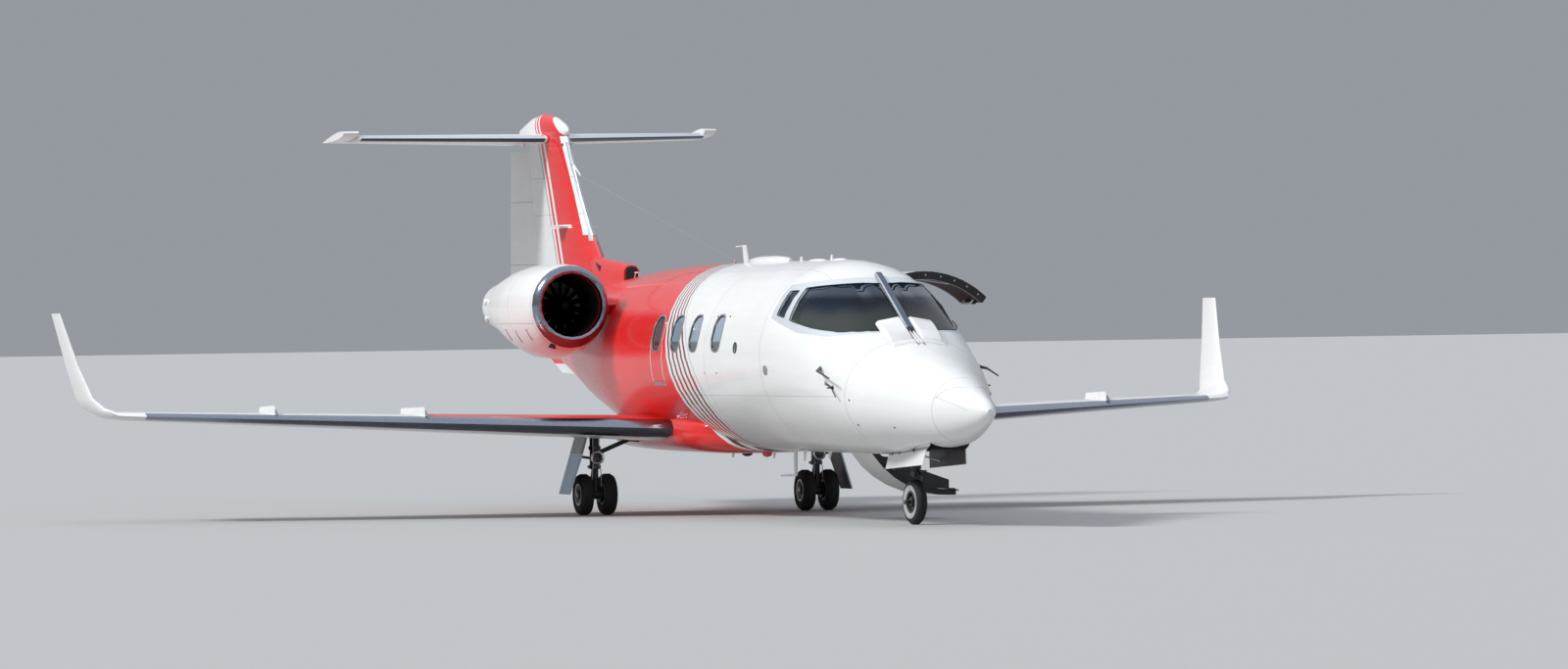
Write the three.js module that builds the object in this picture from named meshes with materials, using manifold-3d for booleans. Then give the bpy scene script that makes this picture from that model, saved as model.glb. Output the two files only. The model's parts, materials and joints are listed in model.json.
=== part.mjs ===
// Air ambulance aircraft: a twin jet with a low swept wing, winglets and a T-tail, parked on its wheels
// with both halves of its cabin door open. Millimetres, +Z up.
// Lengths along X are measured forward from the main wheels' axle, Y runs to port and Z up from the ground;
// the last group shifts X so that the origin lies on the ground below the middle of the whole length.
import * as THREE from "three";
import { mergeVertices } from "three/addons/utils/BufferGeometryUtils.js";
import Module from "manifold-3d";

const wasm = await Module();
wasm.setup();

// Driving dimensions
const NOSE_TIP = 9340;
const AFT_END = -7448;
const HALF_SPAN = 6670;
const GAP = 0.35;
const RUNNING_GAP = 8;
const SKIN = 60;

// Fuselage: X, half width, crown, belly, height of the widest line
const BODY = [
  [9340, 28, 1176, 1122, 1150],
  [9320, 54, 1201, 1094, 1150],
  [9270, 82, 1232, 1058, 1150],
  [9180, 110, 1270, 1020, 1150],
  [9040, 152, 1318, 972, 1152],
  [8750, 243, 1408, 892, 1156],
  [8340, 374, 1535, 808, 1166],
  [7900, 518, 1662, 768, 1198],
  [7340, 704, 1798, 716, 1262],
  [7100, 766, 1878, 708, 1300],
  [6960, 798, 1940, 705, 1332],
  [6400, 866, 2262, 700, 1470],
  [5870, 928, 2550, 700, 1600],
  [5440, 965, 2654, 700, 1664],
  [5000, 985, 2690, 700, 1694],
  [800, 985, 2686, 700, 1694],
  [-600, 973, 2651, 721, 1690],
  [-1500, 855, 2606, 870, 1722],
  [-2450, 745, 2550, 1070, 1784],
  [-3500, 575, 2494, 1330, 1866],
  [-4500, 430, 2436, 1560, 1950],
  [-5500, 270, 2356, 1760, 2032],
  [-6300, 120, 2266, 1980, 2120],
];
const BODY_SIDES = 36;
const INNER_SIDES = 20;
const RADOME_X = 8500;
const NOSE_JOINT_X = 7100;
const TAIL_JOINT_X = -600;
const TAIL_X = -6300;
const CABIN_FLOOR_Z = 900;
const COCKPIT_FLOOR_Z = 1100;

// Wing: leading edge, chord and height as functions of the distance out from the centreline
const WING_TIP_Y = 6200;
const wingLead = (y) => 1570 - 0.36 * y;
const wingTrail = (y) => -1280 - 0.092 * y;
const wingHeight = (y) => 905 + 0.038 * y;
const wingThick = (y) => 0.108 - 0.000004 * y;

// Axles and tyres
const TRACK_HALF = 1255;
const TWIN_HALF = 132;
const MAIN_TYRE = { radius: 222.25, bore: 113, width: 146 };
const NOSE_AXLE_X = 7010;
const NOSE_TYRE = { radius: 228.5, bore: 102, width: 112 };
const NOSE_STEER_X = 7050;
const STEERED = 4.5;

const COLOURS = {
  white: 0xe9eaea,
  red: 0xe12323,
  metal: 0xb9bec3,
  steel: 0x6f7378,
  dark: 0x1c1d20,
  glass: 0x2b3a46,
  tyre: 0x17181a,
  leather: 0x3b3f47,
};

const degrees = THREE.MathUtils.degToRad;

// Solids
function solid(geometry) {
  const bare = geometry.clone();
  bare.deleteAttribute("normal");
  bare.deleteAttribute("uv");
  const merged = mergeVertices(bare, 1e-3);
  const all = merged.index.array;
  const faces = [];
  for (let i = 0; i < all.length; i += 3) {
    const [a, b, c] = [all[i], all[i + 1], all[i + 2]];
    if (a !== b && b !== c && a !== c) faces.push(a, b, c);
  }
  const make = (list) =>
    new wasm.Manifold(
      new wasm.Mesh({
        numProp: 3,
        vertProperties: merged.attributes.position.array,
        triVerts: new Uint32Array(list),
      }),
    );
  const made = make(faces);
  if (made.volume() >= 0) return made;
  for (let i = 0; i < faces.length; i += 3) [faces[i + 1], faces[i + 2]] = [faces[i + 2], faces[i + 1]];
  return make(faces);
}

function geometryOf(manifold) {
  const mesh = manifold.getMesh();
  const points = new Float32Array(mesh.numVert * 3);
  for (let i = 0; i < mesh.numVert; i++)
    points.set(mesh.vertProperties.subarray(i * mesh.numProp, i * mesh.numProp + 3), i * 3);
  const geometry = new THREE.BufferGeometry();
  geometry.setAttribute("position", new THREE.BufferAttribute(points, 3));
  geometry.setIndex(new THREE.BufferAttribute(new Uint32Array(mesh.triVerts), 1));
  geometry.computeVertexNormals();
  return geometry;
}

// A skin through like rings of points, closed by a flat fan at each end
function loft(rings) {
  const count = rings[0].length;
  const points = rings.flat(2);
  const faces = [];
  for (let r = 0; r + 1 < rings.length; r++)
    for (let i = 0; i < count; i++) {
      const a = r * count + i;
      const b = r * count + ((i + 1) % count);
      faces.push(a, b, b + count, a, b + count, a + count);
    }
  for (const r of [0, rings.length - 1]) {
    const middle = points.length / 3;
    for (let axis = 0; axis < 3; axis++)
      points.push(rings[r].reduce((sum, point) => sum + point[axis], 0) / count);
    for (let i = 0; i < count; i++) {
      const edge = [r * count + i, r * count + ((i + 1) % count)];
      faces.push(middle, ...(r === 0 ? edge.reverse() : edge));
    }
  }
  const geometry = new THREE.BufferGeometry();
  geometry.setAttribute("position", new THREE.Float32BufferAttribute(points, 3));
  geometry.setIndex(faces);
  return solid(geometry);
}

const box = (x0, x1, y0, y1, z0, z1) =>
  solid(
    new THREE.BoxGeometry(x1 - x0, y1 - y0, z1 - z0).translate((x0 + x1) / 2, (y0 + y1) / 2, (z0 + z1) / 2),
  );

// A round bar from one point to another, straight or tapered
function bar(from, to, radius, endRadius = radius, sides = 10) {
  const a = new THREE.Vector3(...from);
  const b = new THREE.Vector3(...to);
  const along = b.clone().sub(a);
  const geometry = new THREE.CylinderGeometry(endRadius, radius, along.length(), sides);
  geometry.applyQuaternion(
    new THREE.Quaternion().setFromUnitVectors(new THREE.Vector3(0, 1, 0), along.normalize()),
  );
  const mid = a.add(b).multiplyScalar(0.5);
  return solid(geometry.translate(mid.x, mid.y, mid.z));
}

// A body turned about the Y axis from [radius, y] points
const turned = (profile, sides) =>
  solid(new THREE.LatheGeometry(profile.map(([r, y]) => new THREE.Vector2(r, y)), sides));

// A plate of the outline [x, z] that runs from y0 to y1
function plate(outline, y0, y1) {
  const shape = new THREE.Shape(outline.map(([x, z]) => new THREE.Vector2(x, z)));
  const geometry = new THREE.ExtrudeGeometry(shape, { depth: y1 - y0, bevelEnabled: false });
  return solid(geometry.rotateX(Math.PI / 2).translate(0, y1, 0));
}

const roundedOutline = (x, z, width, height, radius, steps = 4) => {
  const outline = [];
  for (const [sx, sz, start] of [[1, 1, 0], [-1, 1, 90], [-1, -1, 180], [1, -1, 270]])
    for (let k = 0; k <= steps; k++) {
      const angle = degrees(start + (90 * k) / steps);
      outline.push([
        x + sx * (width / 2 - radius) + radius * Math.cos(angle),
        z + sz * (height / 2 - radius) + radius * Math.sin(angle),
      ]);
    }
  return outline;
};

const join = (first, ...others) => others.reduce((sum, other) => sum.add(other), first);
const cut = (first, ...others) => others.reduce((rest, other) => rest.subtract(other), first);
const mirrored = (manifold) => manifold.mirror([0, 1, 0]);

// Scene graph
const aircraft = new THREE.Group();
const frame = new THREE.Group();
frame.position.x = -(NOSE_TIP + AFT_END) / 2;
aircraft.add(frame);

function add(name, manifold, colour, finish = {}) {
  const material = new THREE.MeshStandardMaterial({ color: colour, roughness: 0.35, metalness: 0, ...finish });
  const mesh = new THREE.Mesh(geometryOf(manifold), material);
  mesh.name = name;
  frame.add(mesh);
  return mesh;
}

// Adds a piece at an angle about a hinge line that starts at a point
function addTurned(name, manifold, point, axis, angle, colour, finish = {}) {
  const mesh = add(name, manifold.translate(point.map((v) => -v)), colour, finish);
  mesh.position.set(...point);
  mesh.quaternion.setFromAxisAngle(new THREE.Vector3(...axis).normalize(), degrees(angle));
  return mesh;
}

const METAL = { roughness: 0.3, metalness: 0.9 };
const GLASS = { roughness: 0.08, metalness: 0.1 };
const RUBBER = { roughness: 0.85 };

// Half width, crown, belly and widest line of the fuselage at X
function bodyAt(x) {
  let k = 0;
  while (k < BODY.length - 2 && BODY[k + 1][0] > x) k++;
  const slope = (i, c) => {
    if (i === 0 || i === BODY.length - 1) return null;
    return (BODY[i + 1][c] - BODY[i - 1][c]) / (BODY[i + 1][0] - BODY[i - 1][0]);
  };
  const [x0, x1] = [BODY[k][0], BODY[k + 1][0]];
  const t = (x - x0) / (x1 - x0);
  return [1, 2, 3, 4].map((c) => {
    const [v0, v1] = [BODY[k][c], BODY[k + 1][c]];
    const straight = (v1 - v0) / (x1 - x0);
    const ease = (s) => (s === null || s * straight <= 0 ? 0 : Math.sign(s) * Math.min(Math.abs(s), 3 * Math.abs(straight)));
    const s0 = k === 0 ? straight : ease(slope(k, c));
    const s1 = k + 1 === BODY.length - 1 ? straight : ease(slope(k + 1, c));
    const span = x1 - x0;
    return (
      v0 * (1 + 2 * t) * (1 - t) ** 2 + v1 * t * t * (3 - 2 * t) +
      span * (s0 * t * (1 - t) ** 2 - s1 * t * t * (1 - t))
    );
  });
}

function bodyRing(x, grow, sides) {
  const [half, crown, belly, middle] = bodyAt(x);
  const ring = [];
  for (let i = 0; i < sides; i++) {
    const angle = (2 * Math.PI * i) / sides;
    const rise = (Math.sin(angle) >= 0 ? crown - middle : middle - belly) + grow;
    ring.push([x, (half + grow) * Math.cos(angle), middle + rise * Math.sin(angle)]);
  }
  return ring;
}

// Fuselage skin from one X back to another, set in or out by grow
function bodyLoft(from, to, grow = 0) {
  const sides = grow < -SKIN / 2 ? INNER_SIDES : BODY_SIDES;
  const stops = BODY.map((row) => row[0]).filter((x) => x < from - 40 && x > to + 40);
  const xs = [from, ...stops, to];
  const full = xs.flatMap((x, i) => {
    if (i === 0) return [x];
    const parts = Math.ceil((xs[i - 1] - x) / (x > 4900 ? 620 : 2500));
    return Array.from({ length: parts }, (_, n) => xs[i - 1] + ((x - xs[i - 1]) * (n + 1)) / parts);
  });
  return loft(full.map((x) => bodyRing(x, grow, sides)));
}

const bodyClear = bodyLoft(NOSE_TIP, TAIL_X, GAP);

// Nose wheel well, open below, with room for the steered wheel
const WELL = { back: 6740, front: 8120, half: 215, top: 1010 };
const noseWell = box(WELL.back, WELL.front, -WELL.half, WELL.half, 500, WELL.top);

// Radome and nose section
add("radome", bodyLoft(NOSE_TIP, RADOME_X + GAP), COLOURS.white);
add("nose_section", cut(bodyLoft(RADOME_X, NOSE_JOINT_X + GAP), noseWell), COLOURS.white);

// Cabin windows, the last of them in the emergency exit: X of the middle
const WINDOW_XS = [3480, 2700, 2050, 1380];
const WINDOW = { z: 1948, width: 310, height: 365, corner: 120 };
const PORT_HOLE = { x: 4165, z: 1796, size: 90, corner: 40 };
// Windshield pane and quarter window seen from the side, [x, z]
const WINDSHIELD = [[5520, 2400], [6260, 2458], [7300, 1962], [6500, 1952], [6100, 1996], [5620, 2075]];
const QUARTER = [[5230, 2371], [5410, 2376], [5460, 2102], [5270, 2129]];
const POST_HALF = 34;
const windowCut = (side, shrink) =>
  WINDOW_XS.map((x) => {
    const outline = roundedOutline(x, WINDOW.z, WINDOW.width - shrink, WINDOW.height - shrink, WINDOW.corner, 2);
    return side > 0 ? plate(outline, 500, 1200) : plate(outline, -1200, -500);
  });
const portHoleCut = (shrink) => {
  const size = PORT_HOLE.size - shrink;
  return plate(roundedOutline(PORT_HOLE.x, PORT_HOLE.z, size, size, PORT_HOLE.corner, 2), -1200, -500);
};
function shrunk(outline, by) {
  const cx = outline.reduce((sum, p) => sum + p[0], 0) / outline.length;
  const cz = outline.reduce((sum, p) => sum + p[1], 0) / outline.length;
  return outline.map(([x, z]) => {
    const away = Math.hypot(x - cx, z - cz);
    return [x - ((x - cx) * by) / away, z - ((z - cz) * by) / away];
  });
}
const glazingCut = (side, shrink) =>
  [WINDSHIELD, QUARTER].map((outline, k) => {
    const inner = k === 0 ? POST_HALF + shrink : 300;
    const shape = shrunk(outline, shrink);
    return side > 0 ? plate(shape, inner, 1200) : plate(shape, -1200, -inner);
  });

// Cabin door in the port side: an upper half hinged at the top and a lower half with the steps
const DOOR = { back: 4050, front: 4750, split: 1550, edge: 7 };
const UPPER_HINGE = { y: 569, z: 2507, open: 54.6 };
const LOWER_HINGE = { y: 274, z: 739, open: 76.7 };
const doorway = box(DOOR.back, DOOR.front, LOWER_HINGE.y - 30, 1200, LOWER_HINGE.z, UPPER_HINGE.z);

// Each door half turns on a pin at either end of the knuckle along its hinge line
const KNUCKLE = { radius: 15, bore: 8.6, pin: 8, reach: 46, boss: 28 };
const doorHinges = [UPPER_HINGE, LOWER_HINGE].map(({ y, z }) => {
  const along = (x0, x1, radius) => bar([x0, y, z], [x1, y, z], radius, radius, 12);
  const ends = [[DOOR.back, 1], [DOOR.front, -1]];
  return {
    clear: along(DOOR.back, DOOR.front, KNUCKLE.radius + RUNNING_GAP),
    knuckle: along(DOOR.back + DOOR.edge, DOOR.front - DOOR.edge, KNUCKLE.radius),
    pins: ends.flatMap(([x, inward]) => [
      along(x - inward * KNUCKLE.boss, x, KNUCKLE.radius),
      along(x - inward, x + inward * KNUCKLE.reach, KNUCKLE.pin),
    ]),
    bores: ends.map(([x, inward]) => along(x, x + inward * (KNUCKLE.reach + 1), KNUCKLE.bore)),
  };
});

// All below the flat floor of the cabin and the raised one of the cockpit, lifted by rise
const underFloor = (rise) => {
  const [cabin, cockpit] = [CABIN_FLOOR_Z + rise, COCKPIT_FLOOR_Z + rise];
  return plate([[-700, 0], [7200, 0], [7200, cockpit], [5900, cockpit], [5800, cabin], [-700, cabin]], -1100, 1100);
};
const cavity = cut(bodyLoft(6985, TAIL_JOINT_X + 80, -SKIN), underFloor(0));
const roofMasts = [
  // X of the root's front and back, X of the top's front and back, height of the top
  [1650, 1480, 1530, 1428, 2877],
  [3480, 3390, 3450, 3410, 2734],
  [4490, 4400, 4465, 4430, 2744],
].map(([root, rootBack, front, back, top]) =>
  plate([[root, 2640], [rootBack, 2640], [back, top], [front, top]], -8, 8),
);
const mastRod = bar([1470, 0, 2868], [1186, 0, 2862], 7, 7, 8);

// A wire aerial runs from a mast on the fin down to a post on the crown, and ends inside both
const WIRE = {
  post: [1150, 0, 2712],
  postFoot: 2670,
  postRadii: [12, 9],
  mast: [-4555, 0, 3727],
  mastFoot: [-4890, 0, 3877],
  mastRadii: [13, 8],
  radius: 3,
  end: 7,
};
const wireLength = Math.hypot(WIRE.post[0] - WIRE.mast[0], WIRE.post[2] - WIRE.mast[2]);
const wireWay = [(WIRE.mast[0] - WIRE.post[0]) / wireLength, 0, (WIRE.mast[2] - WIRE.post[2]) / wireLength];
const alongWire = (point, distance) => point.map((v, axis) => v + wireWay[axis] * distance);
const wirePost = (grow) => {
  const [x, , z] = WIRE.post;
  const [foot, top] = WIRE.postRadii;
  return bar([x, 0, WIRE.postFoot], [x, 0, z + WIRE.end + grow], foot + grow, top + grow, 8);
};
const wireMast = (grow) => {
  const [foot, tip] = WIRE.mastRadii;
  return bar(WIRE.mastFoot, alongWire(WIRE.mast, WIRE.end), foot + grow, tip + grow, 8);
};
const roofFairing = loft(
  [[3060, 20, 2], [2900, 90, 26], [2600, 120, 38], [2150, 120, 38], [1900, 90, 26], [1760, 20, 2]].map(
    ([x, half, high]) =>
      Array.from({ length: 16 }, (_, i) => {
        const angle = (2 * Math.PI * i) / 16;
        return [x, half * Math.cos(angle), 2684 + (high + 30) * Math.max(Math.sin(angle), -0.5)];
      }),
  ),
);
let cabin = join(bodyLoft(NOSE_JOINT_X, TAIL_JOINT_X), ...roofMasts, mastRod, roofFairing, wirePost(0));
cabin = cut(cabin, cavity, noseWell, doorway, portHoleCut(0), ...doorHinges.map((hinge) => hinge.clear));
cabin = join(cabin, ...doorHinges.flatMap((hinge) => hinge.pins));
for (const side of [1, -1]) cabin = cut(cabin, ...windowCut(side, 0), ...glazingCut(side, 0));
add("cabin_shell", cabin, COLOURS.white);

// Panes: each side's windows are plugs on one strip behind the wall
const stripOuter = bodyLoft(7000, 0, -SKIN - GAP);
const stripInner = bodyLoft(7050, -50, -SKIN - 14);
const strip = cut(stripOuter, stripInner);
const paneSkin = cut(bodyLoft(7090, 0, -9), stripInner);
for (const [side, name] of [[1, "left"], [-1, "right"]]) {
  const reach = side > 0 ? [300, 1200] : [-1200, -300];
  const band = strip.intersect(box(1150, side > 0 ? 3710 : 4290, ...reach, 1720, 2180));
  const panes = windowCut(side, 2 * GAP).map((one) => one.intersect(paneSkin));
  if (side < 0) panes.push(portHoleCut(2 * GAP).intersect(paneSkin));
  add("cabin_windows_" + name, join(band, ...panes), COLOURS.glass, GLASS);
  const backing = strip.intersect(
    plate([[5150, 2360], [5640, 2400], [5860, 2060], [5500, 2080]], reach[0] < 0 ? -1200 : 250, reach[0] < 0 ? -250 : 1200),
  );
  const glazing = glazingCut(side, GAP).map((one) => one.intersect(paneSkin));
  add("cockpit_glazing_" + name, join(backing, ...glazing), COLOURS.glass, GLASS);
}

// Warm-air ducts at the windshield's foot: crowned covers on the skin, from [X, rise, inner Y, outer Y]
const DUCT = [
  [7170, 10, 60, 270],
  [7130, 34, 45, 290],
  [7000, 62, 42, 298],
  [6860, 58, 40, 302],
  [6735, 30, 36, 305],
];
const DUCT_EDGE = 26;
const skinHeight = (x, y) => {
  const [half, crown, , middle] = bodyAt(x);
  return middle + (crown - middle) * Math.sqrt(1 - (y / half) ** 2);
};
const duct = cut(
  loft(
    DUCT.map(([x, rise, y0, y1]) =>
      [[y0, -25], [y0, rise / 2], [y0 + DUCT_EDGE, rise], [y1 - DUCT_EDGE, rise], [y1, rise / 2], [y1, -25]].map(
        ([y, up]) => [x, y, skinHeight(x, y) + up],
      ),
    ),
  ),
  bodyClear,
);
add("windshield_duct_left", duct, COLOURS.white);
add("windshield_duct_right", mirrored(duct), COLOURS.white);

// Inside the cabin
const PANEL_FOOT_Z = COCKPIT_FLOOR_Z + GAP;
const roomy = cut(bodyLoft(6970, TAIL_JOINT_X + 90, -SKIN - 16), underFloor(GAP));
add(
  "instrument_panel",
  join(
    box(6420, 6560, -640, 640, 1300, 1800),
    plate([[6560, 1790], [6300, 1760], [6300, 1790], [6420, 1850], [6700, 1850], [6700, 1790]], -660, 660),
    plate([[6450, PANEL_FOOT_Z], [6000, PANEL_FOOT_Z], [6000, 1380], [6150, 1420], [6450, 1500]], -130, 130),
    box(6500, 6900, -500, 500, PANEL_FOOT_Z, 1400),
  ).intersect(roomy),
  COLOURS.dark,
  { roughness: 0.7 },
);
const SEAT_RISE = 170;
const SEAT = [[5880, 0], [5460, 0], [5460, 330], [5380, 380], [5240, 960], [5330, 985], [5480, 470], [5940, 440], [5940, 360], [5880, 340]];
for (const [side, name] of [[1, "left"], [-1, "right"]])
  add(
    "crew_seat_" + name,
    plate(SEAT.map(([x, z]) => [x, z + CABIN_FLOOR_Z + GAP + SEAT_RISE]), side * 360 - 200, side * 360 + 200)
      .add(box(5500, 5780, side * 360 - 120, side * 360 + 120, CABIN_FLOOR_Z + GAP, CABIN_FLOOR_Z + 200))
      .intersect(roomy),
    COLOURS.leather,
    RUBBER,
  );
add(
  "stretcher",
  join(
    box(1500, 3400, -560, -60, CABIN_FLOOR_Z + GAP, 1250),
    plate(
      [[3440, 1240], [1480, 1240], [1400, 1500], [1440, 1560], [1660, 1330], [3440, 1330]],
      -580,
      -40,
    ),
  ).intersect(roomy),
  COLOURS.leather,
  RUBBER,
);

// The two halves of the door, cut from the wall and then swung open
const wall = cut(bodyLoft(5100, 3800), bodyLoft(5200, 3700, -SKIN));
const doorBlank = (z0, z1) =>
  wall.intersect(box(DOOR.back + DOOR.edge, DOOR.front - DOOR.edge, LOWER_HINGE.y - 24, 1200, z0, z1));
const upperDoor = cut(
  join(
    doorBlank(DOOR.split + 4, UPPER_HINGE.z - 6),
    doorHinges[0].knuckle,
    box(4300, 4560, 880, 940, 1560, 1600),
  ),
  ...doorHinges[0].bores,
);
addTurned("upper_door", upperDoor, [0, UPPER_HINGE.y, UPPER_HINGE.z], [1, 0, 0], UPPER_HINGE.open, COLOURS.white);

// The steps lie level when the lower half is open, so they are set out open and turned back with it
const TREADS = [
  // Y of the inner and outer edge, height of the top
  [430, 650, 640],
  [690, 920, 500],
  [960, 1160, 385],
];
const TREAD_THICK = 30;
const CHEEK = [[430, 660], [1160, 400], [1160, 285], [975, 296], [770, 352], [555, 480]];
const CHEEK_THICK = 12;
const stepEnds = [DOOR.back + 60, DOOR.front - 60];
const steps = [
  ...TREADS.map(([y0, y1, z]) =>
    box(stepEnds[0] + CHEEK_THICK / 2, stepEnds[1] - CHEEK_THICK / 2, y0, y1, z - TREAD_THICK, z),
  ),
  ...[stepEnds[0], stepEnds[1] - CHEEK_THICK].map((x) => plate(CHEEK, -x - CHEEK_THICK, -x).rotate([0, 0, 90])),
].map((piece) =>
  piece
    .translate([0, -LOWER_HINGE.y, -LOWER_HINGE.z])
    .rotate([LOWER_HINGE.open, 0, 0])
    .translate([0, LOWER_HINGE.y, LOWER_HINGE.z]),
);
const lowerDoor = cut(
  join(doorBlank(LOWER_HINGE.z + 6, DOOR.split - 4), doorHinges[1].knuckle, ...steps),
  ...doorHinges[1].bores,
);
addTurned("lower_door", lowerDoor, [0, LOWER_HINGE.y, LOWER_HINGE.z], [1, 0, 0], -LOWER_HINGE.open, COLOURS.white);

// Tail section with the dorsal ridge and its ram-air scoop
const tailOuter = bodyLoft(TAIL_JOINT_X - GAP, TAIL_X);
const tailInner = bodyLoft(TAIL_JOINT_X + 100, -5600, -SKIN);
const ridgeLoft = (grow) =>
  loft(
    [[-2650, 90, 2700], [-2900, 96, 2735], [-3500, 92, 2775], [-4050 - 2 * grow, 80, 2830]].map(([x, half, top]) => [
      [x, half + grow, 2400],
      [x, half + grow, top - 60 + grow],
      [x, (half + grow) * 0.6, top - 10 + grow],
      [x, 0, top + grow],
      [x, -(half + grow) * 0.6, top - 10 + grow],
      [x, -half - grow, top - 60 + grow],
      [x, -half - grow, 2400],
    ]),
  );
const scoop = box(-2900, -2600, -60, 60, 2590, 2670);
add("tail_section", cut(join(tailOuter, ridgeLoft(0)), tailInner, scoop), COLOURS.red);
const tailClear = join(bodyClear, ridgeLoft(2 * GAP));

// Aerofoil ring in the XZ plane at Y: leading edge, chord, thickness share, height of the chord line
const FOIL_STEPS = 8;
const foilHalf = (s, t) =>
  5 * t * (0.2969 * Math.sqrt(s) - 0.126 * s - 0.3516 * s * s + 0.2843 * s ** 3 - 0.1005 * s ** 4);
function foilPoints(chord, thick, grow = 0) {
  const points = [];
  for (let k = 0; k <= FOIL_STEPS; k++) {
    const s = (1 + Math.cos((Math.PI * k) / FOIL_STEPS)) / 2;
    points.push([-s * chord, foilHalf(s, thick) * chord]);
  }
  for (let k = 1; k <= FOIL_STEPS; k++) {
    const s = (1 - Math.cos((Math.PI * k) / FOIL_STEPS)) / 2;
    points.push([-s * chord, -foilHalf(s, thick) * chord]);
  }
  return points.map(([x, z]) => [
    x + (grow * (x + chord / 2)) / (chord / 2),
    z + (z === 0 ? 0 : Math.sign(z) * grow),
  ]);
}

// Wing with its winglet: stations out to the tip, then the bend up into the blade
const wingRing = (y, grow) =>
  foilPoints(wingLead(y) - wingTrail(y), wingThick(y), grow).map(([x, z]) => [wingLead(y) + x, y, wingHeight(y) + z]);
const WINGLET = [
  // Y, Z, leading edge, chord, thickness share, lean of the section in degrees
  [6330, 1152, -760, 1090, 0.085, 24],
  [6430, 1218, -960, 960, 0.08, 52],
  [6480, 1330, -1260, 790, 0.075, 76],
  [6560, 1700, -1610, 580, 0.07, 80],
  [HALF_SPAN - 12, 2250, -1990, 400, 0.06, 80],
];
const wingletRing = ([y, z, lead, chord, thick, lean], grow) =>
  foilPoints(chord, thick, grow).map(([x, up]) => [
    lead + x,
    y - up * Math.sin(degrees(lean)),
    z + up * Math.cos(degrees(lean)),
  ]);
const wingStations = [560, 1100, 2200, 3300, 4700, 5600, WING_TIP_Y];
const wingLoft = (grow) =>
  loft([...wingStations.map((y) => wingRing(y, grow)), ...WINGLET.map((row) => wingletRing(row, grow))]);

// A moving surface's bay: a round nose about the hinge line and all that lies behind it
function bay(line, y0, y1, grow) {
  return loft(
    [y0, y1].map((y) => {
      const { x, z, r } = line(y);
      const radius = r + grow;
      const ring = [];
      for (let k = 0; k <= 12; k++) {
        const angle = degrees(-90 + 15 * k);
        ring.push([x + radius * Math.cos(angle), y, z + radius * Math.sin(angle)]);
      }
      ring.push([x - 1600, y, z + radius], [x - 1600, y, z - radius]);
      return ring;
    }),
  );
}
const between = (y, y0, y1, a, b) => a + ((b - a) * (y - y0)) / (y1 - y0);

// A pin that stands out of the fixed side at one end of a surface, and the bore it enters
const PIN_REACH = 34;
const PIN_PLAY = 0.8;
function hingePin(at, end, inward, radius, root = 14) {
  const point = (distance) => at(end + inward * distance);
  return {
    pin: bar(point(-RUNNING_GAP - root), point(PIN_REACH), radius),
    bore: bar(point(-6), point(PIN_REACH + 1), radius + PIN_PLAY),
  };
}
const pinPair = (at, y0, y1, radius, root) => [hingePin(at, y0, 1, radius, root), hingePin(at, y1, -1, radius, root)];

// Flap and aileron hinge lines of the port wing; drop is the axis's depth below the chord line as a share
// of the section's half height there
const FLAP = { y0: 1130, y1: 3858, chord: 0.2, drop: 0.5, endGap: 14 };
const AILERON = { y0: 3930, y1: 5720, chord: 0.24, drop: 0 };
function hingeLine(part) {
  return (y) => {
    const at = (end) => {
      const chord = wingLead(end) - wingTrail(end);
      const half = foilHalf(1 - part.chord, wingThick(end)) * chord;
      return {
        x: wingTrail(end) + part.chord * chord,
        z: wingHeight(end) - part.drop * half,
        r: (1 + part.drop) * half,
      };
    };
    const [a, b] = [at(part.y0), at(part.y1)];
    return {
      x: between(y, part.y0, part.y1, a.x, b.x),
      z: between(y, part.y0, part.y1, a.z, b.z),
      r: between(y, part.y0, part.y1, a.r, b.r) + 2,
    };
  };
}
const flapLine = hingeLine(FLAP);
const aileronLine = hingeLine(AILERON);
const onLine = (line) => (y) => [line(y).x, y, line(y).z];

// Spoiler: a thin plate in the upper skin ahead of the flap, hinged along its front edge
const SPOILER = { y0: 2240, y1: 3300, front: 0.62, back: 0.745, thick: 12, edge: 8 };
const spoilerPoint = (y, share, drop = 0) => {
  const chord = wingLead(y) - wingTrail(y);
  return [wingLead(y) - share * chord, y, wingHeight(y) + foilHalf(share, wingThick(y)) * chord - drop];
};
const spoilerAxis = (y) => {
  const ends = [SPOILER.y0, SPOILER.y1].map((end) => spoilerPoint(end, SPOILER.front, SPOILER.thick / 2));
  return [
    between(y, SPOILER.y0, SPOILER.y1, ends[0][0], ends[1][0]) - SPOILER.edge,
    y,
    between(y, SPOILER.y0, SPOILER.y1, ends[0][2], ends[1][2]),
  ];
};
const spoilerBlock = (edge, floorDrop) =>
  loft(
    [SPOILER.y0 - edge, SPOILER.y1 + edge].map((y) => {
      const front = spoilerPoint(y, SPOILER.front);
      const back = spoilerPoint(y, SPOILER.back);
      return [
        [front[0] + edge, y, front[2] - floorDrop],
        [front[0] + edge, y, front[2] + 60],
        [back[0] - edge, y, back[2] + 60],
        [back[0] - edge, y, back[2] - floorDrop],
      ];
    }),
  );

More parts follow.
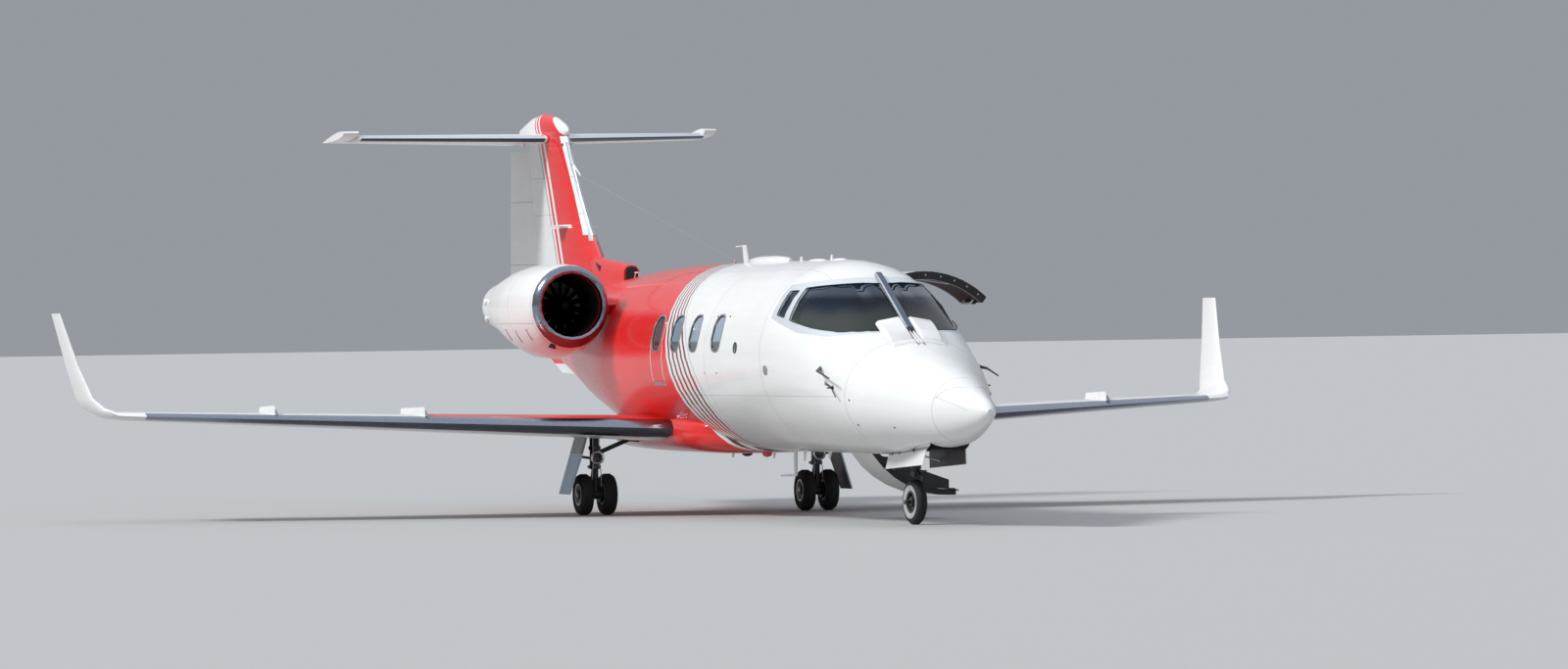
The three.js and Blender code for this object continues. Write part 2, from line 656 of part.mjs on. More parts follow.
// Belly fairing below the fuselage, between the wings
const FAIRING = [
  // X, half width, top, bottom
  [2640, 240, 900, 694],
  [2450, 480, 1000, 684],
  [2150, 720, 1100, 668],
  [1500, 765, 1150, 662],
  [0, 760, 1150, 668],
  [-1000, 740, 1150, 690],
  [-1400, 600, 1150, 755],
  [-1750, 300, 1100, 880],
];
const fairingRing = ([x, half, top, bottom], grow) =>
  Array.from({ length: 28 }, (_, i) => {
    const angle = (2 * Math.PI * i) / 28;
    const squared = (v) => Math.sign(v) * Math.abs(v) ** 0.62;
    const middle = (top + bottom) / 2;
    return [
      x,
      (half + grow) * squared(Math.cos(angle)),
      middle + (top - middle + grow) * squared(Math.sin(angle)),
    ];
  });
const fairingLoft = (grow) => loft(FAIRING.map((row) => fairingRing(row, grow)));
add("belly_fairing", cut(fairingLoft(0), bodyClear), COLOURS.white);

const fence = (y, x0, x1, high) =>
  plate(
    [
      [x0, wingHeight(y) - 20],
      [x0 - 30, wingHeight(y) + 60],
      [x0 - 200, wingHeight(y) + high],
      [x1 + 60, wingHeight(y) + high - 20],
      [x1, wingHeight(y) + 30],
      [x1, wingHeight(y) - 10],
    ],
    y - 4,
    y + 4,
  );
const wingWhole = join(wingLoft(0), fence(3200, 380, -800, 170), fence(4720, -150, -1000, 150));
const fuselageClear = join(bodyClear, fairingLoft(GAP));
const flapPins = pinPair(onLine(flapLine), FLAP.y0, FLAP.y1, 10, FLAP.endGap + 10);
const aileronPins = pinPair(onLine(aileronLine), AILERON.y0, AILERON.y1, 9);
const spoilerPins = pinPair(spoilerAxis, SPOILER.y0, SPOILER.y1, 2.8);
const wing = join(
  cut(
    wingWhole,
    bay(flapLine, FLAP.y0 - FLAP.endGap, FLAP.y1 + FLAP.endGap, RUNNING_GAP),
    bay(aileronLine, AILERON.y0 - RUNNING_GAP, AILERON.y1 + RUNNING_GAP, RUNNING_GAP),
    spoilerBlock(RUNNING_GAP, SPOILER.thick + RUNNING_GAP),
  ),
  ...[...flapPins, ...aileronPins, ...spoilerPins].map((one) => one.pin),
);
const bored = (surface, pins) => cut(surface, ...pins.map((one) => one.bore));
const flap = bored(wingLoft(0).intersect(bay(flapLine, FLAP.y0, FLAP.y1, 0)), flapPins);
const aileron = bored(wingLoft(0).intersect(bay(aileronLine, AILERON.y0, AILERON.y1, 0)), aileronPins);
const spoiler = bored(wingLoft(0).intersect(spoilerBlock(0, SPOILER.thick)), spoilerPins);
for (const [name, place] of [["left", (m) => m], ["right", mirrored]]) {
  add("wing_" + name, cut(place(wing), fuselageClear), COLOURS.white);
  add("flap_" + name, cut(place(flap), fuselageClear), COLOURS.white);
  add("aileron_" + name, place(aileron), COLOURS.white);
  add("spoiler_" + name, place(spoiler), COLOURS.white);
}

// Fin and rudder: sections across Z, and the tailplane on top
const FIN = { z0: 2380, z1: 4190, lead: [[2380, -3500], [2820, -3820], [3140, -4210], [3510, -4560], [3880, -4860], [4190, -5080]] };
const finLead = (z) => {
  const rows = FIN.lead;
  let k = 0;
  while (k < rows.length - 2 && rows[k + 1][0] < z) k++;
  return between(z, rows[k][0], rows[k + 1][0], rows[k][1], rows[k + 1][1]);
};
const RUDDER = { z0: 2440, z1: 4040, hinge: [-6030, -6466], chord: [780, 490], half: [72, 52], rest: 15 };
const rudderHinge = (z) => between(z, RUDDER.z0, RUDDER.z1, ...RUDDER.hinge);
const finTrail = (z) => rudderHinge(z) - between(z, RUDDER.z0, RUDDER.z1, ...RUDDER.chord);
const finRing = (z) => {
  const chord = finLead(z) - finTrail(z);
  return foilPoints(chord, 0.088).map(([x, up]) => [finLead(z) + x, up, z]);
};
const finLoft = (z0, z1) => loft([z0, ...FIN.lead.map((row) => row[0]).filter((z) => z > z0 && z < z1), z1].map((z) => finRing(z)));
function rudderBay(z0, z1, grow) {
  return loft(
    [z0, z1].map((z) => {
      const x = rudderHinge(z);
      const radius = between(z, RUDDER.z0, RUDDER.z1, ...RUDDER.half) + grow;
      const ring = [];
      for (let k = 0; k <= 12; k++) {
        const angle = degrees(-90 + 15 * k);
        ring.push([x + radius * Math.cos(angle), radius * Math.sin(angle), z]);
      }
      ring.push([x - 1500, radius, z], [x - 1500, -radius, z]);
      return ring;
    }),
  );
}
const TAILPLANE = { half: 2235, z: 4170, rise: 0.018, thick: 0.085 };
const tailLead = (y) => -5480 - 0.466 * y;
const tailTrail = (y) => -6978 - 0.214 * y;
const tailRing = (y, grow = 0) =>
  foilPoints(tailLead(y) - tailTrail(y), TAILPLANE.thick, grow).map(([x, up]) => [
    tailLead(y) + x,
    y,
    TAILPLANE.z + TAILPLANE.rise * y + up,
  ]);
const tailHalf = (grow = 0) => loft([0, 250, 1300, 2130, TAILPLANE.half].map((y) => tailRing(y, grow)));
const bullet = (grow) =>
  loft(
    [
      // X, half width, top, bottom
      [-5020, 12, 4262, 4235],
      [-5180, 62, 4330, 4160],
      [-5480, 92, 4410, 4110],
      [-5890, 96, 4470, 4100],
      [-6400, 84, 4420, 4110],
      [-6960, 16, 4300, 4200],
    ].map(([x, half, top, bottom]) =>
      Array.from({ length: 20 }, (_, i) => {
        const angle = (2 * Math.PI * i) / 20;
        const middle = (top + bottom) / 2;
        return [x, (half + grow) * Math.cos(angle), middle + (top - middle + grow) * Math.sin(angle)];
      }),
    ),
  );
const ELEVATOR = { y0: 130, y1: 2040, chord: 0.34, rest: 6 };
const elevatorLine = (y) => {
  const at = (end) => {
    const chord = tailLead(end) - tailTrail(end);
    return {
      x: tailTrail(end) + ELEVATOR.chord * chord,
      z: TAILPLANE.z + TAILPLANE.rise * end,
      r: foilHalf(1 - ELEVATOR.chord, TAILPLANE.thick) * chord,
    };
  };
  const [a, b] = [at(ELEVATOR.y0), at(ELEVATOR.y1)];
  return {
    x: between(y, ELEVATOR.y0, ELEVATOR.y1, a.x, b.x),
    z: between(y, ELEVATOR.y0, ELEVATOR.y1, a.z, b.z),
    r: between(y, ELEVATOR.y0, ELEVATOR.y1, a.r, b.r) + 1.5,
  };
};
const HORN = { y0: 2075, gap: 16 };
const hornBlock = (edge) =>
  box(tailTrail(HORN.y0) - 300, tailLead(HORN.y0) + 300, HORN.y0 - edge, TAILPLANE.half + 50, 4000, 4400);
const elevatorWhole = join(
  tailHalf().intersect(bay(elevatorLine, ELEVATOR.y0, TAILPLANE.half + 20, 0)),
  tailHalf().intersect(hornBlock(0)),
);
const tailHalfCut = cut(
  tailHalf(),
  bay(elevatorLine, ELEVATOR.y0 - RUNNING_GAP, TAILPLANE.half + 60, RUNNING_GAP),
  hornBlock(HORN.gap),
);
// A hinge bracket of the tailplane stands in a notch of the elevator's nose and carries a pin to either side
const BRACKET = { y: 1620, half: 8, gap: 16, pin: 6, reach: 44 };
const bracketAt = elevatorLine(BRACKET.y);
const onHinge = onLine(elevatorLine);
const elevatorPins = [
  hingePin(onHinge, ELEVATOR.y0, 1, 8),
  ...[1, -1].map((way) => ({
    pin: bar(onHinge(BRACKET.y), onHinge(BRACKET.y + way * BRACKET.reach), BRACKET.pin),
    bore: bar(onHinge(BRACKET.y), onHinge(BRACKET.y + way * (BRACKET.reach + 1)), BRACKET.pin + PIN_PLAY),
  })),
];
const bracket = box(
  bracketAt.x - 10, bracketAt.x + bracketAt.r + 30,
  BRACKET.y - BRACKET.half, BRACKET.y + BRACKET.half,
  bracketAt.z - 12, bracketAt.z + 12,
);
const notch = bar(
  onHinge(BRACKET.y - BRACKET.half - BRACKET.gap),
  onHinge(BRACKET.y + BRACKET.half + BRACKET.gap),
  bracketAt.r + 4,
  bracketAt.r + 4,
  12,
);
const tailHalfPinned = join(tailHalfCut, bracket, ...elevatorPins.map((one) => one.pin));
const tailplane = join(tailHalfPinned, mirrored(tailHalfPinned), bullet(0));
add("tailplane", tailplane, COLOURS.white);
const elevatorStart = elevatorLine(ELEVATOR.y0);
const elevatorEnd = elevatorLine(ELEVATOR.y1);
const elevatorAxis = [elevatorEnd.x - elevatorStart.x, ELEVATOR.y1 - ELEVATOR.y0, elevatorEnd.z - elevatorStart.z];
const elevator = bored(cut(elevatorWhole, bullet(RUNNING_GAP), notch), elevatorPins);
addTurned(
  "elevator_left", elevator, [elevatorStart.x, ELEVATOR.y0, elevatorStart.z], elevatorAxis, -ELEVATOR.rest, COLOURS.white,
);
addTurned(
  "elevator_right", mirrored(elevator), [elevatorStart.x, -ELEVATOR.y0, elevatorStart.z],
  [-elevatorAxis[0], elevatorAxis[1], -elevatorAxis[2]], -ELEVATOR.rest, COLOURS.white,
);
const tailplaneClear = join(tailHalf(GAP), mirrored(tailHalf(GAP)), bullet(GAP));
const onRudderLine = (z) => [rudderHinge(z), 0, z];
const rudderPins = [hingePin(onRudderLine, RUDDER.z0, 1, 10), hingePin(onRudderLine, RUDDER.z1, -1, 10)];
const rudderLugs = [RUDDER.z0 - RUNNING_GAP - 30, RUDDER.z1 + RUNNING_GAP].map((z) =>
  box(rudderHinge(z) - 16, rudderHinge(z) + 130, -18, 18, z, z + 30),
);
// The navigation aerial: a flat swept blade out of either side of the fin
const NAV_BLADE = { z: 3160, root: [-4640, -5080, 9], tip: [-4890, -5015, 4], reach: 300 };
const navBlades = [1, -1].map((side) =>
  loft(
    [[NAV_BLADE.root, 0], [NAV_BLADE.tip, side * NAV_BLADE.reach]].map(([[front, back, half], y]) => [
      [front, y, NAV_BLADE.z],
      [(front + back) / 2, y, NAV_BLADE.z + half],
      [back, y, NAV_BLADE.z],
      [(front + back) / 2, y, NAV_BLADE.z - half],
    ]),
  ),
);
const fin = cut(
  join(
    cut(finLoft(FIN.z0, FIN.z1), rudderBay(2000, 4300, RUNNING_GAP)),
    wireMast(0),
    ...navBlades,
    ...rudderLugs,
    ...rudderPins.map((one) => one.pin),
  ),
  tailClear,
  tailplaneClear,
);
add("fin", fin, COLOURS.white);
const aerialWire = bar(alongWire(WIRE.post, -WIRE.end), alongWire(WIRE.mast, WIRE.end), WIRE.radius, WIRE.radius, 6);
add("aerial_wire", cut(aerialWire, wireMast(GAP), wirePost(GAP)), COLOURS.steel, METAL);
const rudder = bored(finLoft(RUDDER.z0, RUDDER.z1).intersect(rudderBay(2000, 4300, 0)), rudderPins);
addTurned(
  "rudder", rudder, [RUDDER.hinge[0], 0, RUDDER.z0],
  [RUDDER.hinge[1] - RUDDER.hinge[0], 0, RUDDER.z1 - RUDDER.z0], RUDDER.rest, COLOURS.white,
);
add(
  "ventral_fin",
  cut(
    plate([[-4150, 1540], [-4530, 1480], [-5350, 1500], [-5800, 1660], [-5900, 1950], [-4150, 1600]], -14, 14),
    bodyClear,
  ),
  COLOURS.white,
);

// Engines: nacelle, core with its shaft, fan and pylon of the port side
const ENGINE = { y: 1380, z: 2262 };
const NACELLE = [
  // X, half width, top, bottom
  [-330, 372, 2640, 1895],
  [-345, 400, 2668, 1865],
  [-420, 430, 2696, 1800],
  [-620, 460, 2710, 1726],
  [-950, 478, 2714, 1682],
  [-1400, 474, 2708, 1690],
  [-1900, 430, 2666, 1782],
  [-2400, 352, 2592, 1920],
  [-2760, 292, 2536, 1984],
  [-2900, 276, 2520, 1996],
];
const nacelleLoft = (grow) =>
  loft(
    NACELLE.map(([x, half, top, bottom]) =>
      Array.from({ length: 24 }, (_, i) => {
        const angle = (2 * Math.PI * i) / 24;
        const s = Math.sin(angle);
        return [
          x,
          ENGINE.y + (half + grow) * Math.cos(angle),
          ENGINE.z + (s >= 0 ? top - ENGINE.z + grow : ENGINE.z - bottom + grow) * s,
        ];
      }),
    ),
  );
// Turned about the engine's own axis from [radius, X]
const engineTurned = (profile, sides) =>
  turned(profile, sides).rotate([0, 0, -90]).translate([0, ENGINE.y, ENGINE.z]);
const bypass = engineTurned(
  [[0, 0], [372, 0], [372, -330], [345, -348], [335, -390], [340, -560], [356, -720], [360, -1100], [340, -1800], [262, -2700], [248, -3000], [0, -3000]],
  22,
);
const coreBody = engineTurned(
  [[0, -690], [38, -690], [38, -900], [250, -900], [282, -1000], [290, -1600], [262, -2200], [190, -2500], [150, -2640], [90, -2640], [60, -2760], [0, -2860]],
  20,
);
const vanes = [45, 135, 225, 315].map((angle) =>
  box(-1500, -1200, -9, 9, 250, 420)
    .rotate([angle, 0, 0])
    .translate([0, ENGINE.y, ENGINE.z]),
);
const ductClear = engineTurned(
  [[0, 0], [360, -1000], [360 - GAP, -1100], [340 - GAP, -1800], [262 - GAP, -2700], [0, -2700]],
  22,
);
const core = join(coreBody, ...vanes.map((vane) => vane.intersect(ductClear)));
const FAN_BLADES = 14;
const fanHub = engineTurned(
  [[0, -560], [40, -580], [88, -650], [112, -720], [118, -870], [60, -870], [60, -860], [39.4, -860], [39.4, -680], [0, -680]],
  16,
);
const blades = Array.from({ length: FAN_BLADES }, (_, i) =>
  box(-52, 52, -5, 5, 95, 338)
    .rotate([0, 0, 32])
    .translate([-790, 0, 0])
    .rotate([(360 * i) / FAN_BLADES, 0, 0])
    .translate([0, ENGINE.y, ENGINE.z]),
);
const fan = join(fanHub, ...blades);
const pylonRing = (y, grow = 0) =>
  foilPoints(2050, 0.13, grow).map(([x, up]) => [-760 + x, y, 2262 + up]);
const pylon = cut(loft([400, 1250].map((y) => pylonRing(y))), nacelleLoft(GAP));
for (const [name, place] of [["left", (m) => m], ["right", mirrored]]) {
  add("nacelle_" + name, place(cut(nacelleLoft(0), bypass)), COLOURS.white);
  add("engine_core_" + name, place(core), COLOURS.steel, METAL);
  add("fan_" + name, place(fan), COLOURS.steel, METAL);
  add("pylon_" + name, cut(place(pylon), tailClear), COLOURS.red);
}

// Wheels: tyre and rim turned about the axle
const tyreSolid = ({ radius, bore, width }) => {
  const high = radius - bore;
  return turned(
    [
      [bore, -0.37 * width],
      [bore + 0.45 * high, -0.5 * width],
      [radius - 0.19 * high, -0.43 * width],
      [radius, -0.22 * width],
      [radius, 0.22 * width],
      [radius - 0.19 * high, 0.43 * width],
      [bore + 0.45 * high, 0.5 * width],
      [bore, 0.37 * width],
      [bore, -0.37 * width],
    ],
    24,
  );
};
const AXLE_RADIUS = 30;
const AXLE_BORE = 31;
const mainRim = turned(
  [
    [0, 182], [0, 196], [48, 196], [52, 160], [97, 158], [103, 192], [122, 193], [MAIN_TYRE.bore - 1, 186],
    [MAIN_TYRE.bore - 1, 74], [104, 72], [97, 140], [52, 142], [52, 66], [AXLE_BORE, 66],
    [AXLE_BORE, 182], [0, 182],
  ],
  16,
);
const mainTyre = tyreSolid(MAIN_TYRE).translate([0, TWIN_HALF, 0]);

// Main leg: oleo, axle, torque links, side brace, taxi light and drag strut of the port side
const DOOR_ROD = {
  from: [20, TRACK_HALF + 30, 610],
  to: [20, TRACK_HALF + 216, 640],
  end: [20, TRACK_HALF + 217, 640],
};
const wingClear = join(wingLoft(GAP), fuselageClear);
// The bracket in the wing root that carries the side brace, as an outline [Y, Z]
const BRACE_FOOT = [[884, 900], [884, 790], [785, 779], [674, 830], [674, 900]];
const braceFoot = plate(BRACE_FOOT, -60, 0).rotate([0, 0, 90]);
const mainLeg = cut(
  join(
    bar([0, TRACK_HALF, 215], [0, TRACK_HALF, 520], 40),
    bar([0, TRACK_HALF, 500], [0, TRACK_HALF, 960], 56),
    bar([0, TRACK_HALF - 176, MAIN_TYRE.radius], [0, TRACK_HALF + 176, MAIN_TYRE.radius], AXLE_RADIUS, AXLE_RADIUS, 20),
    bar([0, TRACK_HALF - 60, MAIN_TYRE.radius], [0, TRACK_HALF + 60, MAIN_TYRE.radius], 52),
    bar([-20, TRACK_HALF, 262], [-130, TRACK_HALF, 395], 16),
    bar([-130, TRACK_HALF, 380], [-30, TRACK_HALF, 560], 16),
    bar([0, TRACK_HALF - 20, 660], [30, 850, 820], 24),
    braceFoot,
    bar(DOOR_ROD.from, DOOR_ROD.to, 14),
    bar([40, TRACK_HALF, 620], [105, TRACK_HALF, 620], 62, 70, 24),
  ),
  wingClear,
);
const gearDoor = cut(
  loft(
    [[230, 1595, 190], [620, 1468, 215], [940, 1372, 215]].map(([z, y, half]) => [
      [half, y, z],
      [half - 20, y + 18, z + 4],
      [-half + 20, y + 18, z + 4],
      [-half, y, z],
      [-half, y - 6, z - 2],
      [half, y - 6, z - 2],
    ]),
  ),
  wingClear,
  bar(DOOR_ROD.from, DOOR_ROD.end, 14 + GAP),
);
for (const [name, side, place] of [["left", 1, (m) => m], ["right", -1, mirrored]]) {
  add("main_leg_" + name, place(mainLeg), COLOURS.steel, METAL);
  add("main_gear_door_" + name, place(gearDoor), COLOURS.white);
  for (const [where, turn] of [["outer", side], ["inner", -side]]) {
    const rim = add("main_rim_" + name + "_" + where, mainRim, COLOURS.metal, METAL);
    const tyre = add("main_tyre_" + name + "_" + where, mainTyre, COLOURS.tyre, RUBBER);
    for (const piece of [rim, tyre]) {
      piece.position.set(0, side * TRACK_HALF, MAIN_TYRE.radius);
      piece.rotation.z = turn > 0 ? 0 : Math.PI;
    }
  }
}

// Nose gear: fixed strut with its drag brace, then the steered fork, axle and wheel
const STEER_Z = 560;
const STEER_PIN = { radius: 28, bore: 28.8, reach: 80 };
add(
  "nose_strut",
  join(
    bar([NOSE_STEER_X, 0, STEER_Z], [NOSE_STEER_X, 0, WELL.top - GAP], 52, 58, 24),
    bar([NOSE_STEER_X, 0, 700], [7560, 0, WELL.top - 30], 24),
    bar([7560, GAP - WELL.half, WELL.top - 30 - GAP], [7560, WELL.half - GAP, WELL.top - 30 - GAP], 29),
    bar([NOSE_STEER_X, GAP - WELL.half, 900], [NOSE_STEER_X, WELL.half - GAP, 900], 34),
  ).subtract(bar([NOSE_STEER_X, 0, STEER_Z - 1], [NOSE_STEER_X, 0, STEER_Z + STEER_PIN.reach + 1], STEER_PIN.bore, STEER_PIN.bore, 24)),
  COLOURS.white,
  METAL,
);
const steered = new THREE.Group();
steered.position.set(NOSE_STEER_X, 0, 0);
steered.rotation.z = degrees(STEERED);
frame.add(steered);
const NOSE_TRAIL = NOSE_AXLE_X - NOSE_STEER_X;
// The fork has one arm only, on the port side
const forkArm = loft(
  [
    [NOSE_TYRE.radius - 30, 0],
    [NOSE_TYRE.radius + 60, 0],
    [470, 20],
    [530, 40],
  ].map(([z, x]) =>
    [[34, 92], [-34, 92], [-34, 72], [34, 72]].map(([dx, dy]) => [NOSE_TRAIL + x + dx, dy, z]),
  ),
);
const fork = join(
  bar([0, 0, 480], [0, 0, STEER_Z - 0.6], 40, 40, 24),
  bar([0, 0, 500], [0, 0, STEER_Z + STEER_PIN.reach], STEER_PIN.radius, STEER_PIN.radius, 24),
  box(-46, 46, -40, 92, 488, 536),
  forkArm,
  bar([NOSE_TRAIL, -100, NOSE_TYRE.radius], [NOSE_TRAIL, 100, NOSE_TYRE.radius], 20, 20, 20),
);
const noseFork = new THREE.Mesh(
  geometryOf(fork),
  new THREE.MeshStandardMaterial({ color: COLOURS.metal, ...METAL }),
);
noseFork.name = "nose_fork";
const noseRimSolid = turned(
  [
    [21, -50], [46, -50], [46, -14], [91, -10], [95, -48], [112, -48], [NOSE_TYRE.bore - 1, -42.5],
    [NOSE_TYRE.bore - 1, 42.5], [112, 48], [95, 48], [91, 10], [46, 14], [46, 50], [21, 50], [21, -50],
  ],
  16,
);
for (const [name, shape, colour, finish] of [
  ["nose_rim", noseRimSolid, COLOURS.metal, METAL],
  ["nose_tyre", tyreSolid(NOSE_TYRE), COLOURS.tyre, RUBBER],
]) {
  const mesh = new THREE.Mesh(geometryOf(shape), new THREE.MeshStandardMaterial({ color: colour, ...finish }));
  mesh.name = name;
  mesh.position.set(NOSE_TRAIL, 0, NOSE_TYRE.radius);
  steered.add(mesh);
}
steered.add(noseFork);
// Each nose gear door is a leaning sheet cut to an outline [X, Z], with an upright strip inside the well's lip
const NOSE_DOOR = [[6795, 562], [7940, 616], [7985, 765], [8100, 815], [8100, 868], [6960, 800], [6850, 720]];
const DOOR_STRIP = { near: 205, far: 213, foot: 755, top: 880 };
const DOOR_LEAF = { top: 760, bottom: 540, lean: 29 };
for (const [name, side] of [["left", 1], ["right", -1]]) {
  const [x0, x1] = [NOSE_DOOR[0][0] - 50, WELL.front];
  const strip = box(
    x0, x1,
    Math.min(side * DOOR_STRIP.near, side * DOOR_STRIP.far), Math.max(side * DOOR_STRIP.near, side * DOOR_STRIP.far),
    DOOR_STRIP.foot, DOOR_STRIP.top,
  );
  const leaf = loft(
    [x0, x1].map((x) => [
      [x, side * DOOR_STRIP.near, DOOR_LEAF.top],
      [x, side * DOOR_STRIP.far, DOOR_LEAF.top],
      [x, side * (DOOR_STRIP.far + DOOR_LEAF.lean), DOOR_LEAF.bottom],
      [x, side * (DOOR_STRIP.near + DOOR_LEAF.lean), DOOR_LEAF.bottom],
    ]),
  );
  const door = join(strip, leaf).intersect(plate(NOSE_DOOR, -300, 300));
  add("nose_gear_door_" + name, door.subtract(bodyLoft(8600, 6500, GAP).subtract(noseWell)), COLOURS.white);
}

export default aircraft;
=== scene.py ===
"""Dresses the packed air ambulance aircraft: smooth skins, paint, glazing, doors, cabin, gear and aerials."""
import json
import math

import bmesh
import bpy
from bpy.props import BoolProperty, FloatProperty, FloatVectorProperty, IntProperty, PointerProperty
from mathutils import Matrix, Vector


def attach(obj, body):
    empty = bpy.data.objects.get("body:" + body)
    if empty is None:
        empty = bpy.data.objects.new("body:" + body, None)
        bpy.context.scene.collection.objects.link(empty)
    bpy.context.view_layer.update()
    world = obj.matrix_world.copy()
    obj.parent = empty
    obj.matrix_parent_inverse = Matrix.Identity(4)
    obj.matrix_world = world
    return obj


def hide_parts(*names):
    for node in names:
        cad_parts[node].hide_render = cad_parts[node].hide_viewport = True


bl_info = {
    "name": "Air Ambulance Aircraft",
    "version": (1, 0, 0),
    "blender": (4, 5, 0),
    "location": "3D View > Sidebar > Aircraft",
    "description": "Dresses the packed air ambulance aircraft and sets its studio",
    "category": "Object",
}

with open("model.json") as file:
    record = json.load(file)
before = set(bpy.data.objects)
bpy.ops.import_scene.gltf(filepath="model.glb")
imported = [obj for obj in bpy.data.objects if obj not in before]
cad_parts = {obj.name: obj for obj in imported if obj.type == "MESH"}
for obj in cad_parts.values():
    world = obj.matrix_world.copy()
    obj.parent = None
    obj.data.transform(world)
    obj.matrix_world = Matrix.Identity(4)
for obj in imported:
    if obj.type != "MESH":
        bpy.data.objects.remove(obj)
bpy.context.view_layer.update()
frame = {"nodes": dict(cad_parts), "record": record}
NODES = frame["nodes"]
BODY_OF = {node: body for body, nodes in frame["record"]["behaviour"]["bodies"].items() for node in nodes}

# The source counts X forward from the main axle, and the packed frame from the middle of the length
OFFSET = 0.946
# Port and starboard: the sign of Y, and the end of a name
SIDES = ((1, "left"), (-1, "right"))
UP = (0, 0, 1)
FORWARD = (1, 0, 0)

# Fuselage: X, half width, crown, belly, height of the widest line
BODY = [
    (9.340, 0.028, 1.176, 1.122, 1.150),
    (9.320, 0.054, 1.201, 1.094, 1.150),
    (9.270, 0.082, 1.232, 1.058, 1.150),
    (9.180, 0.110, 1.270, 1.020, 1.150),
    (9.040, 0.152, 1.318, 0.972, 1.152),
    (8.750, 0.243, 1.408, 0.892, 1.156),
    (8.340, 0.374, 1.535, 0.808, 1.166),
    (7.900, 0.518, 1.662, 0.768, 1.198),
    (7.340, 0.704, 1.798, 0.716, 1.262),
    (7.100, 0.766, 1.878, 0.708, 1.300),
    (6.960, 0.798, 1.940, 0.705, 1.332),
    (6.400, 0.866, 2.262, 0.700, 1.470),
    (5.870, 0.928, 2.550, 0.700, 1.600),
    (5.440, 0.965, 2.654, 0.700, 1.664),
    (5.000, 0.985, 2.690, 0.700, 1.694),
    (0.800, 0.985, 2.686, 0.700, 1.694),
    (-0.600, 0.973, 2.651, 0.721, 1.690),
    (-1.500, 0.855, 2.606, 0.870, 1.722),
    (-2.450, 0.745, 2.550, 1.070, 1.784),
    (-3.500, 0.575, 2.494, 1.330, 1.866),
    (-4.500, 0.430, 2.436, 1.560, 1.950),
    (-5.500, 0.270, 2.356, 1.760, 2.032),
    (-6.300, 0.120, 2.266, 1.980, 2.120),
]
TIP, TAIL_END = BODY[0][0], BODY[-1][0]
# How far from the level of 1 a point still counts as on the skin
SKIN_BAND = 0.022

# Cabin windows, the port hole and the cockpit panes, as in the source
WINDOW_XS = (3.480, 2.700, 2.050, 1.380)
WINDOW = {"z": 1.948, "width": 0.310, "height": 0.365, "corner": 0.120}
PORT_HOLE = {"x": 4.165, "z": 1.796, "size": 0.090, "corner": 0.040}
WINDSHIELD = [(5.520, 2.400), (6.260, 2.458), (7.300, 1.962), (6.500, 1.952), (6.100, 1.996), (5.620, 2.075)]
QUARTER = [(5.230, 2.371), (5.410, 2.376), (5.460, 2.102), (5.270, 2.129)]
POST_HALF = 0.034

# Doorway and hinges: the open angle turns a point of the closed door
DOOR = {"back": 4.050, "front": 4.750, "split": 1.550, "edge": 0.007}
UPPER_HINGE = {"y": 0.569, "z": 2.507, "open": 54.6}
LOWER_HINGE = {"y": 0.274, "z": 0.739, "open": -76.7}

# Wheels
AXLE_Z = 0.22225
TRACK_HALF = 1.255
TWIN_HALF = 0.132
NOSE_STEER_X = 7.050
NOSE_AXLE_X = 7.010
NOSE_AXLE_Z = 0.2285
STEERED = math.radians(4.5)
# Ahead of this X a wheel is the nose wheel
NOSE_HALF_X = 4.0
# Where the hinge line of the nose gear's doors starts, and its slope
HINGE_LINE = {"x": 6.917, "z": 0.719, "slope": 0.061}

# Cabin: crew seats, stretcher
CREW_Y = 0.36
STRETCHER = {"back": 1.502, "front": 3.398, "right": -0.560, "left": -0.060, "low": 0.901, "high": 1.232}

ENGINE = {"y": 1.380, "z": 2.262}
# Nacelle: X, half width, top, bottom
NACELLE = [
    (-0.330, 0.372, 2.640, 1.895),
    (-0.345, 0.400, 2.668, 1.865),
    (-0.420, 0.430, 2.696, 1.800),
    (-0.620, 0.460, 2.710, 1.726),
    (-0.950, 0.478, 2.714, 1.682),
    (-1.400, 0.474, 2.708, 1.690),
    (-1.900, 0.430, 2.666, 1.782),
    (-2.400, 0.352, 2.592, 1.920),
    (-2.760, 0.292, 2.536, 1.984),
    (-2.900, 0.276, 2.520, 1.996),
]

# A taut aerial wire from a post on the crown to the fin's mast
WIRE = {"post": (1.150, 0, 2.712), "mast": (-4.555, 0, 3.727), "diameter": 0.005}

# The camera that took the photo, and the direction that the sun comes from
CAMERA = {"place": (91.151, -28.928, 2.169), "bearing": 17.95, "tilt": 0.151, "roll": 0.801, "sensor": 36.0}
SUN = {"from": (-0.14, -0.74, 0.66), "spread": 12}
FLOOR_SIZE = 900


def at(x, y, z):
    """A point of the source, in the packed frame."""
    return Vector((x - OFFSET, y, z))


def turns(count):
    """Angles spaced evenly round a circle."""
    return [2 * math.pi * k / count for k in range(count)]


# Settings


def colour_setting(name, description, default):
    return FloatVectorProperty(
        name=name, description=description, subtype="COLOR", size=4, min=0, max=1, default=default,
    )


class PaintSettings(bpy.types.PropertyGroup):
    white: colour_setting("White", "Forward and upper paint", (0.80, 0.80, 0.78, 1))
    red: colour_setting("Red", "Signal red of the rear fuselage", (0.72, 0.013, 0.012, 1))
    stripe: colour_setting("Stripe", "Dark red of the pinstripes", (0.20, 0.018, 0.020, 1))
    coat: FloatProperty(
        name="Coat", description="Weight of the clear coat", default=0.35, min=0, max=1, subtype="FACTOR",
    )


